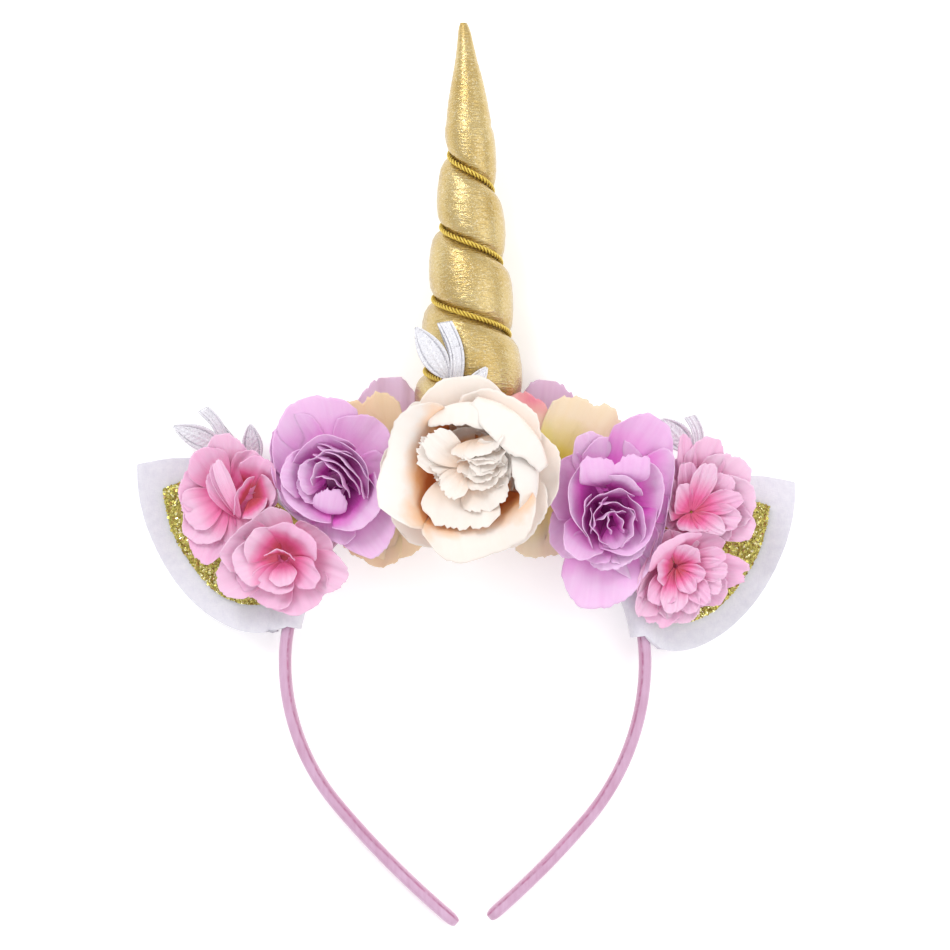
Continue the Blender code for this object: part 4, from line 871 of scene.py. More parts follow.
# Petal tables give for each petal, in degrees and millimetres: azimuth, length, half width, distance of its
# root from the flower's axis, its height there, lean from the axis at its root and at its rim; then half its
# curl across in radians, how many more degrees its rim rolls out, its ruffle, how much of the deeper root
# colour it shows, which is partly dye and partly painted shade, and how deeply its rim is notched


def petals(table, rows=30, columns=27, middle=(0, 0), round_off=0.30, furl=0.10, frill=0.006,
           curl=1.2, roll_at=0.68, flat=1.0, crease=0.25, seed=1):
    """Sheets as functions of t along and s across, round the group's own middle in mm. The middle line is the
    running sum of its lean's sine and cosine, its rise flattened by flat; the rim starts to roll out at
    roll_at; the half width grows as a sine up to its widest; across, the cloth follows a circular arc that
    closes by the petal's curl; ruffle, crease and furl lift it by broad waves, by pleats that fan out from
    the root and by a slant; frill nicks the rim, and a slow wave makes it uneven."""
    numbers = np.array(table, float)
    count = len(numbers)
    azimuth, length, half, root, rise, lean_in, lean_out, cup, roll, ruffle, dye_and_shade, notch = (
        column[:, None, None] for column in numbers.T
    )
    azimuth, lean_in, lean_out, roll = (np.radians(angle) for angle in (azimuth, lean_in, lean_out, roll))
    length, half, root, rise, ruffle = (size / 1000 for size in (length, half, root, rise, ruffle))
    chance = np.random.default_rng(seed)
    phase, tone = chance.random((count, 1, 1)) * 2 * np.pi, chance.random((count, 1, 1))
    t, s = np.linspace(0, 1, rows)[None, :, None], np.linspace(-1, 1, columns)[None, None]
    nick = np.sin(s * 19 + phase) + np.sin(s * 43 + 2 * phase) + np.sin(s * 71 + 5 * phase)
    uneven = 0.035 * np.sin(s * 3.1 + phase * 3)
    edge = 1 - round_off * np.abs(s) ** 2.5 - notch * np.exp(-((s / 0.20) ** 2)) + frill * nick + uneven
    where = t * edge
    fine = np.linspace(0, 1, LINE_STEPS + 1)
    rolled = eased((fine - roll_at) / (1 - roll_at))
    lean = lean_in[..., 0] + (lean_out - lean_in)[..., 0] * fine**curl + roll[..., 0] * rolled
    between = (lean[:, 1:] + lean[:, :-1]) / 2
    start = np.zeros((count, 1))
    outward = np.concatenate([start, np.cumsum(np.sin(between), axis=1)], axis=1) / LINE_STEPS
    upward = np.concatenate([start, np.cumsum(np.cos(between), axis=1)], axis=1) / LINE_STEPS * flat
    place = np.clip(where * LINE_STEPS, 0, LINE_STEPS - 0.001)
    low = place.astype(int)

    def along_line(line):
        """The line's value at each point's place, read between its steps."""
        spread = np.broadcast_to(line[:, None, :], (count, rows, LINE_STEPS + 1))
        first, second = (np.take_along_axis(spread, low + k, axis=2) for k in (0, 1))
        return first + (second - first) * (place - low)

    r, h = root + length * along_line(outward), rise + length * along_line(upward)
    lean_here = along_line(lean)
    side = half * (0.14 + 0.86 * np.sin(np.pi / 2 * np.minimum(1, where / PETAL_WIDEST)) ** 0.9)
    bend = np.maximum(cup, 0.02) * (0.35 + 0.65 * where)
    x = side * np.sin(bend * s) / bend
    lift = side * (1 - np.cos(bend * s)) / bend
    lift = lift + ruffle * where**2.2 * np.sin(2.3 * np.pi * s + phase) * (0.35 + 0.65 * np.abs(s))
    pleats = np.sin(s * 9 + 5 * phase) + 0.7 * np.sin(s * 16 + 3 * phase + 2 * where)
    lift = lift + crease / 1000 * pleats * where * (1.2 - where) + furl * side * s * where
    reach = r - lift * np.cos(lean_here)
    grid = np.stack([
        reach * np.cos(azimuth) - x * np.sin(azimuth) + middle[0] / 1000,
        reach * np.sin(azimuth) + x * np.cos(azimuth) + middle[1] / 1000,
        h + lift * np.sin(lean_here),
    ], axis=-1)
    return grid, {
        "along": where, "across": s + 0 * where, "tone": tone + 0 * where, "dye_and_shade": dye_and_shade + 0 * where
    }


def flower(name, groups, seed):
    """A blossom's groups of petals, (settings, table) each, on its hub and pressed against its neighbours."""
    grids, marks = joined([petals(table, seed=seed + k, **shape) for k, (shape, table) in enumerate(groups)])
    return pressed(on_hub(grids, name), name), marks


def joined(sets):
    """Puts petal sets of one grid size together."""
    grids = np.concatenate([grid for grid, marks in sets])
    return grids, {key: np.concatenate([marks[key] for grid, marks in sets]) for key in sets[0][1]}


def on_hub(grid, name):
    """Turns a flower's own z to its axis and puts it on its hub."""
    hub, axis = HUBS[name]
    turn = np.array(Vector((0, 0, 1)).rotation_difference(Vector(axis)).to_matrix())
    return grid @ turn.T + np.array(hub)


def pressed(grid, name):
    """Where a petal would pass the plane in which its blossom meets the next, the part beyond is pressed back
    to a small share of its way, softly."""
    for first, second, share, lean, turn in MEETINGS:
        if name not in (first, second):
            continue
        a, b = np.array(HUBS[first][0]), np.array(HUBS[second][0])
        facing = np.arctan2(b[1] - a[1], b[0] - a[0]) + np.radians(turn)
        normal = np.array([np.cos(facing), np.sin(facing), lean])
        normal /= np.linalg.norm(normal)
        sign = 1 if name == first else -1
        beyond = ((grid - (a + (b - a) * share)) @ normal) * sign + MEETING_GAP
        over = (beyond + np.sqrt(beyond**2 + MEETING_SOFTNESS**2)) / 2
        grid = grid - over[..., None] * (1 - MEETING_GIVE) * normal * sign
    return grid


def clear_below(grid, floor):
    """Lifts what would lie under the floor onto it, softly."""
    z = grid[..., 2]
    raised = (z + floor + np.sqrt((z - floor) ** 2 + LIFT_SOFTNESS**2)) / 2
    return np.concatenate([grid[..., :2], raised[..., None]], axis=-1)


def over_horn(grid):
    """Height just over the horn's front face, where a petal lies before the horn; very low elsewhere."""
    x, y = grid[..., 0] - HORN_SIDEWAYS, grid[..., 1]
    depth = HORN_FOOT + HORN_LENGTH - y
    radius = over_cord(depth) + PETALS_OVER_HORN
    bulge = np.sqrt(np.clip(radius**2 - x**2, 0, None))
    inside = eased((y - HORN_FOOT + 0.006) / 0.005) * (np.abs(x) < radius)
    return -0.05 + (0.05 + HORN_FORWARD + bulge) * inside


def petal_finish(name, rim, body, root, hollow_shade, edge=None):
    """Dyed cloth petals with painted shade and highlight: the root colour, partly dye and partly painted
    shade of the flower's depths, fades out along each petal by the petal's share of it, and where that share
    is large a hollow colour paints shadow; veins fan out from the root, a painted highlight runs along the
    cut rim, and a fine weave shows close up. A petal of negative share is dyed at its edge where an edge
    colour is given."""
    made = Finish(name, Roughness=0.62, Specular_IOR_Level=0.25, Subsurface_Weight=0.30,
                  Subsurface_Radius=(1.0, 0.85, 0.85), Subsurface_Scale=0.0005)
    along, across, tone, dye_and_shade = (made.mark(key) for key in ("along", "across", "tone", "dye_and_shade"))
    wash = made.noise(140.0, 3.0)
    cloudy = made.noise(48.0, 2.0)
    fan = made.node("CombineXYZ", {}, {
        0: across * (1.35 - along * 0.55) * 7.0, 1: along * 1.1, 2: tone * 37.0})
    vein = made.noise(1.0, 3.5, where=fan)
    thread = made.noise(3800.0, 1.5)
    root_dye_and_shade = (1 - along + (wash - 0.5) * 0.25).between(0.26, 0.84)
    colour = made.blend((tone * 0.5 + cloudy * 0.5 + (vein - 0.5) * 0.7).between(0.15, 0.85), body, rim)
    # Painted shade: towards each petal's root the colour deepens, partly dye, and the hollow colour paints
    # the darkest shadow.
    colour = made.blend((root_dye_and_shade * (dye_and_shade + 0.18)).between(0.0, 0.70), colour, root)
    colour = made.blend((root_dye_and_shade * dye_and_shade).between(0.50, 1.0), colour, hollow_shade)
    if edge is not None:
        outer = (along + across.size() * 0.25 + (wash - 0.5) * 0.3).between(0.72, 1.12)
        colour = made.blend(outer * (0 - dye_and_shade).between(0.0, 1.0), colour, edge)
    # Painted highlight: a paler line along the cut rim.
    rim_highlight = (along.between(0.90, 0.995) + across.size().between(0.95, 1.0)).between(0.0, 1.0)
    colour = made.blend(rim_highlight * 0.30, colour, rim)
    weave = made.raised(thread, 0.00004, strength=0.5)
    creased = made.raised(vein, 0.00042, over=weave, strength=0.5)
    made.wear(Base_Color=colour, Roughness=0.56 + thread * 0.16 - rim_highlight * 0.08, Normal=creased)
    return made


def pleated_foot(name, sides=72, levels=26):
    """Rings round a curved middle line, which starts at the foot's seat, bends towards the second point and
    ends where the petals meet. Twelve soft pleats deepen towards the seat, and the top is painted the petals'
    deepest colour as shade."""
    seat, under, radius, backing = FEET[name]
    hub, axis = (np.array(values, float) for values in HUBS[name])
    axis /= np.linalg.norm(axis)
    height = felt_rise(seat[0], seat[1]) + FELT / 2 if seat[2] is None else seat[2]
    seat, under = np.array([seat[0], seat[1], height - FOOT_SUNK]), np.array(under)
    top = hub + axis * FOOT_OVER_HUB
    shares, narrows, wides = np.array(FOOT_SHAPE).T
    share = np.interp(np.linspace(0, 1, levels), np.linspace(0, 1, len(shares)), shares)
    narrow, wide = np.interp(share, shares, narrows), np.interp(share, shares, wides)
    t = share[:, None]
    middle = seat * (1 - t) ** 2 + under * 2 * t * (1 - t) + top * t * t
    way = 2 * (1 - t) * (under - seat) + 2 * t * (top - under) + axis * t * 0.004
    way /= np.linalg.norm(way, axis=1, keepdims=True)
    beside = np.cross(way, (0.0, 1.0, 0.0))
    beside /= np.linalg.norm(beside, axis=1, keepdims=True)
    across = np.cross(way, beside)
    angle = 2 * np.pi * np.arange(sides) / sides
    pleat = 0.07 * np.cos(FOOT_PLEATS * angle[None] + 1.4 * t) * np.clip(1.15 - t, 0.2, 1)
    size = (narrow * radius + wide * backing)[:, None] * (1 + pleat)
    grid = middle[:, None] + size[..., None] * (
        np.cos(angle)[:, None] * beside[:, None] + np.sin(angle)[:, None] * across[:, None]
    )
    # Painted shade: the top ring, where the petals meet, takes the deepest colour.
    face = (share > 0.97)[:, None] + 0 * size
    return grid, {
        "along": 0.6 - 0.6 * face, "across": 0 * size, "tone": 0.4 + 0 * size, "dye_and_shade": 0.1 + 1.1 * face
    }


def blossom(name, grids, marks, finish):
    """Sheets of petals and the foot below them stand for the CAD blossom of this name."""
    piece = new_piece(name + "_petals", surface(name + "_petals", grids, marks=marks), finish)
    thicken(piece, PETAL, even=False)
    foot_grid, foot_marks = pleated_foot(name)
    foot_mesh = surface(name + "_foot", foot_grid, around=True, capped=True, marks=foot_marks)
    face_out(foot_mesh)
    foot = new_piece(name + "_foot", foot_mesh, finish)
    for made in (piece, foot):
        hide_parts(name)


# Cream rose
# The largest blossom sits over the horn's foot. Pale outer petals lie open, two broad ones form a cup, two
# short ones line it, three more close over it from the upper right, and a crumpled heart with frayed edges
# fills it. The peach to brown inside the cup, on the lining and the cup's walls, is painted shade.

CREAM = (
    ({"round_off": 0.30}, (
        (95, 32.0, 18.0, 2.5, 0.8, 84, 68, 0.42, 14, 0.9, 0.05, 0.03),
        (60, 30.0, 16.0, 2.5, 1.8, 82, 62, 0.50, 14, 0.7, 0.05, 0.0),
        (3, 31.5, 15.5, 2.5, 0.8, 85, 70, 0.40, 12, 0.8, 0.05, 0.0),
        (-38, 29.0, 14.0, 2.5, 1.2, 84, 66, 0.50, 12, 0.8, 0.05, 0.0),
        (-140, 29.0, 15.0, 2.5, 1.0, 84, 68, 0.45, 12, 0.8, 0.05, 0.0),
        (182, 31.5, 13.5, 2.5, 1.0, 85, 70, 0.45, 12, 0.8, 0.05, 0.0),
        (140, 29.0, 14.0, 2.5, 0.6, 85, 68, 0.45, 10, 0.8, 0.05, 0.0),
    )),
    ({"round_off": 0.34, "furl": 0.08, "roll_at": 0.50, "curl": 1.0}, (
        (168, 30.5, 24.0, 4.0, 2.4, 82, 0, 1.00, 108, 0.7, 1.50, 0.0),
        (-76, 28.5, 22.5, 4.0, 3.0, 82, 0, 1.00, 104, 0.8, 1.50, 0.0),
    )),
    ({"round_off": 0.2, "furl": 0.02}, (
        (100, 16.0, 14.0, 4.0, 2.0, 80, 20, 0.85, 0, 0.4, 1.90, 0.0),
        (30, 15.0, 13.0, 4.0, 2.0, 80, 20, 0.85, 0, 0.4, 1.90, 0.0),
    )),
    ({"round_off": 0.10, "furl": 0.03, "curl": 1.5, "flat": 0.68, "crease": 0.1}, (
        (90, 45.0, 15.0, 4.0, 2.0, 88, -82, 0.72, 0, 0.4, 0.30, 0.0),
        (2, 43.5, 14.0, 4.0, 2.0, 88, -84, 0.72, 0, 0.4, 0.40, 0.0),
        (45, 50.5, 18.0, 4.0, 2.8, 88, -92, 0.80, 0, 0.4, 0.60, 0.0),
    )),
    ({"middle": (0, 3), "curl": 1.0, "roll_at": 0.80, "frill": 0.022, "furl": 0.14, "crease": 0.5}, (
        (144, 18.5, 6.2, 0.5, 13.0, 62, 76, 0.30, 8, 1.0, 0.10, 0.0),
        (160, 19.5, 7.0, 0.5, 11.0, 66, 76, 0.35, 8, 1.2, 0.25, 0.0),
        (178, 13.5, 4.5, 1.0, 11.0, 60, 68, 0.40, 6, 1.8, 0.30, 0.0),
        (204, 12.5, 3.5, 1.0, 10.0, 62, 70, 0.50, 6, 1.8, 0.35, 0.0),
        (-130, 13.5, 5.4, 0.5, 12.0, 58, 74, 0.40, 10, 0.5, 0.10, 0.0),
        (-101, 22.5, 14.0, 1.0, 8.0, 66, 76, 0.45, 10, 1.0, 0.15, 0.0),
        (-58, 17.5, 9.5, 1.0, 9.0, 62, 68, 0.50, 10, 1.4, 0.25, 0.0),
    )),
    ({"middle": (4.5, 4), "curl": 1.0, "roll_at": 0.80, "frill": 0.022, "furl": 0.22, "crease": 0.5}, (
        (-76, 8.5, 10.0, -8.5, 15.0, 26, 70, 0.75, 6, 1.0, 0.12, 0.0),
        (-92, 9.5, 8.5, -6.0, 13.5, 26, 66, 0.80, 6, 1.3, 0.15, 0.0),
        (-70, 9.5, 9.5, -3.5, 12.0, 30, 64, 0.75, 6, 1.4, 0.20, 0.0),
        (-98, 11.0, 7.0, -1.5, 10.5, 34, 62, 0.80, 6, 1.4, 0.20, 0.0),
        (-62, 12.0, 8.5, -0.5, 10.0, 40, 60, 0.70, 6, 1.5, 0.25, 0.0),
        (-135, 10.0, 5.5, -3.0, 12.0, 30, 60, 0.80, 6, 1.2, 0.20, 0.0),
        (-8, 12.0, 8.0, 0.5, 10.5, 50, 62, 0.55, 8, 1.5, 0.20, 0.0),
        (28, 12.0, 8.0, -1.0, 11.5, 44, 56, 0.60, 8, 1.4, 0.20, 0.0),
        (78, 11.0, 9.0, 0.5, 11.0, 44, -36, 0.80, 0, 0.6, 0.20, 0.0),
    )),
)
cream_grid, cream_marks = flower("rose_cream", CREAM, 3)
cream_grid = clear_below(cream_grid, over_horn(cream_grid))
# rim, body, and the peach root and brown hollow colours that paint the cup's shade
cream_cloth = petal_finish("cream_petals", (0.84, 0.785, 0.745), (0.83, 0.75, 0.69), (0.88, 0.47, 0.215),
                           (0.56, 0.15, 0.04))
blossom("rose_cream", cream_grid, cream_marks, cream_cloth)


# Lilac roses
# Two lilac roses lean outwards on each side of the cream one. The left one's furled petals run aslant over a
# dark hollow; the right one's top petal is rolled over, and a long petal hangs below its folded middle.

# rim, body, root and hollow colours: the root's magenta is partly dye and partly painted shade, the hollow
# colour painted shadow
LILAC_COLOURS = ((0.80, 0.58, 0.79), (0.74, 0.42, 0.70), (0.76, 0.125, 0.60), (0.20, 0.010, 0.15))
LILAC_LEFT = (
    ({"round_off": 0.30}, (
        (104, 28.5, 15.0, 2.5, 1.0, 82, 64, 0.40, 8, 0.9, 0.35, -0.14),
        (138, 26.5, 12.5, 2.5, 1.4, 82, 62, 0.45, 8, 0.8, 0.45, 0.0),
        (50, 25.0, 12.5, 2.5, 0.8, 84, 64, 0.45, 10, 0.8, 0.25, 0.0),
        (160, 28.5, 11.5, 2.5, 0.8, 84, 66, 0.45, 8, 0.8, 0.45, -0.06),
        (0, 20.0, 11.0, 2.5, 0.8, 84, 66, 0.45, 8, 0.8, 0.40, 0.0),
        (-52, 29.0, 13.5, 2.5, 0.8, 84, 70, 0.42, 12, 0.8, 0.35, 0.0),
        (-100, 23.0, 12.0, 2.5, 0.9, 84, 68, 0.45, 8, 0.8, 0.70, 0.0),
        (-152, 23.0, 12.0, 2.5, 0.6, 85, 70, 0.45, 6, 0.6, 1.00, 0.0),
        (-176, 22.0, 11.5, 2.5, 0.9, 84, 66, 0.45, 8, 0.6, 0.50, 0.0),
    )),
    ({"round_off": 0.32, "roll_at": 0.64, "furl": 0.08}, (
        (-40, 20.5, 14.0, 4.0, 2.2, 76, 12, 1.00, 62, 0.5, 1.00, 0.0),
        (-142, 18.0, 13.5, 3.5, 2.4, 74, 12, 0.95, 66, 0.5, 0.70, 0.0),
        (165, 17.5, 10.0, 3.5, 2.8, 70, 12, 0.90, 50, 0.5, 0.70, 0.0),
        (100, 18.0, 12.5, 3.5, 2.8, 68, 6, 0.95, 16, 0.6, 0.85, 0.0),
        (28, 17.5, 13.0, 3.5, 2.6, 70, 2, 0.95, 6, 0.4, 0.85, 0.0),
    )),
    ({"middle": (1, 0), "curl": 1.0, "frill": 0.012, "furl": 0.16}, (
        (46, 13.0, 14.0, 8.8, 2.8, 20, -4, 0.75, 0, 0.9, 0.70, 0.0),
        (36, 13.5, 13.0, 6.8, 3.6, 18, -8, 0.75, 0, 0.9, 0.60, 0.0),
        (44, 13.5, 11.5, 4.9, 4.6, 16, -8, 0.80, 0, 0.8, 0.55, 0.0),
        (32, 13.0, 9.5, 3.0, 5.6, 14, -8, 0.80, 0, 0.8, 0.55, 0.0),
        (95, 12.5, 8.5, 6.5, 4.2, 30, 0, 0.70, 10, 0.9, 0.65, 0.0),
        (142, 10.5, 6.0, 3.5, 6.0, 32, 4, 0.80, 8, 0.8, 0.65, 0.0),
        (172, 12.0, 6.5, 3.0, 5.5, 50, 40, 0.60, 16, 0.8, 0.50, 0.0),
        (-162, 11.0, 6.0, 4.0, 4.2, 56, 48, 0.60, 16, 0.8, 0.50, 0.0),
        (60, 9.5, 5.5, 0.3, 7.6, 10, -10, 0.90, 0, 0.6, 0.70, 0.0),
    )),
    ({"middle": (2.5, 2.0), "curl": 1.2, "flat": 0.55, "frill": 0.010, "round_off": 0.24, "crease": 0.1}, (
        (-103, 30.0, 6.5, 4.0, 3.0, 80, -95, 0.85, 0, 0.3, 0.45, 0.0),
    )),
)
LILAC_RIGHT = (
    ({"round_off": 0.30}, (
        (56, 31.0, 14.0, 2.5, 0.8, 83, 64, 0.45, 10, 0.8, 0.65, -0.06),
        (12, 30.0, 14.0, 2.5, 1.0, 83, 62, 0.45, 10, 0.8, 0.80, 0.0),
        (-97, 36.5, 14.5, 2.5, 0.8, 84, 74, 0.42, 12, 0.8, 0.70, 0.0),
        (-30, 30.0, 12.5, 2.5, 0.8, 84, 66, 0.45, 10, 0.8, 0.80, 0.0),
        (-62, 28.0, 11.0, 2.5, 1.0, 84, 68, 0.45, 10, 0.8, 0.80, 0.0),
        (-140, 24.0, 10.0, 2.5, 0.6, 85, 72, 0.45, 8, 0.6, 0.60, 0.0),
        (163, 22.0, 12.5, 2.5, 0.8, 83, 56, 0.45, 10, 0.6, 0.40, 0.0),
        (112, 23.0, 8.0, 2.5, 0.6, 84, 64, 0.45, 8, 0.6, 0.45, -0.10),
        (88, 20.0, 11.0, 2.5, 0.8, 84, 62, 0.45, 8, 0.6, 0.60, 0.0),
    )),
    ({"round_off": 0.30, "furl": 0.08}, (
        (180, 19.5, 14.0, 4.0, 2.6, 72, 4, 0.90, 8, 0.3, 0.85, 0.0),
        (-128, 27.0, 9.0, 4.0, 2.0, 80, 8, 0.80, 30, 0.5, 0.80, 0.0),
        (-60, 20.0, 13.5, 3.6, 2.4, 74, 24, 0.90, 26, 0.5, 0.90, 0.0),
        (15, 20.0, 13.5, 3.6, 2.6, 74, 20, 0.90, 30, 0.5, 0.80, 0.0),
        (65, 15.0, 9.0, 3.0, 4.0, 30, 0, 0.50, 40, 0.8, 0.60, 0.0),
    )),
    ({"round_off": 0.12, "curl": 1.0, "roll_at": 0.42, "frill": 0.018, "furl": 0.04}, (
        (92, 22.0, 12.5, 4.0, 3.0, 20, 0, 0.22, 96, 0.4, 0.10, 0.10),
    )),
    ({"middle": (-0.5, -8.0), "curl": 1.0, "frill": 0.012, "furl": 0.16}, (
        (95, 12.5, 9.5, 7.5, 3.0, 26, 4, 0.75, 10, 0.9, 0.75, 0.0),
        (176, 13.0, 10.0, 6.8, 3.0, 26, 6, 0.75, 10, 0.9, 0.70, 0.0),
        (8, 13.0, 10.0, 7.4, 3.0, 26, 6, 0.75, 10, 0.9, 0.70, 0.0),
        (60, 12.5, 8.0, 5.0, 4.0, 22, -4, 0.80, 0, 1.0, 0.65, 0.0),
        (150, 12.5, 7.5, 4.8, 4.2, 22, 0, 0.75, 0, 1.0, 0.60, 0.0),
        (196, 13.0, 7.5, 4.0, 4.0, 24, 6, 0.75, 6, 1.0, 0.60, 0.0),
        (-20, 12.5, 7.5, 4.4, 4.2, 24, 4, 0.80, 6, 1.0, 0.60, 0.0),
        (100, 10.5, 6.0, 2.4, 5.6, 18, -4, 0.85, 0, 0.9, 0.55, 0.0),
        (20, 10.5, 5.0, 1.8, 6.2, 18, -4, 0.85, 0, 0.9, 0.55, 0.0),
        (175, 9.5, 4.5, 0.6, 6.8, 16, 0, 0.90, 0, 0.8, 0.60, 0.0),
        (-55, 14.0, 8.0, 4.0, 3.4, 56, 52, 0.60, 16, 0.9, 0.60, 0.0),
        (-90, 15.0, 8.5, 3.5, 3.0, 60, 58, 0.60, 16, 0.9, 0.60, 0.0),
        (-128, 14.0, 8.0, 4.0, 3.4, 56, 54, 0.60, 16, 0.9, 0.60, 0.0),
        (-72, 10.5, 5.5, 1.6, 5.2, 48, 40, 0.70, 12, 0.9, 0.50, 0.0),
    )),
)
for side, groups, seed in (("left", LILAC_LEFT, 7), ("right", LILAC_RIGHT, 29)):
    grids, marks = flower(f"rose_lilac_{side}", groups, seed)
    cloth = petal_finish(f"lilac_petals_{side}", *LILAC_COLOURS)
    blossom(f"rose_lilac_{side}", grids, marks, cloth)
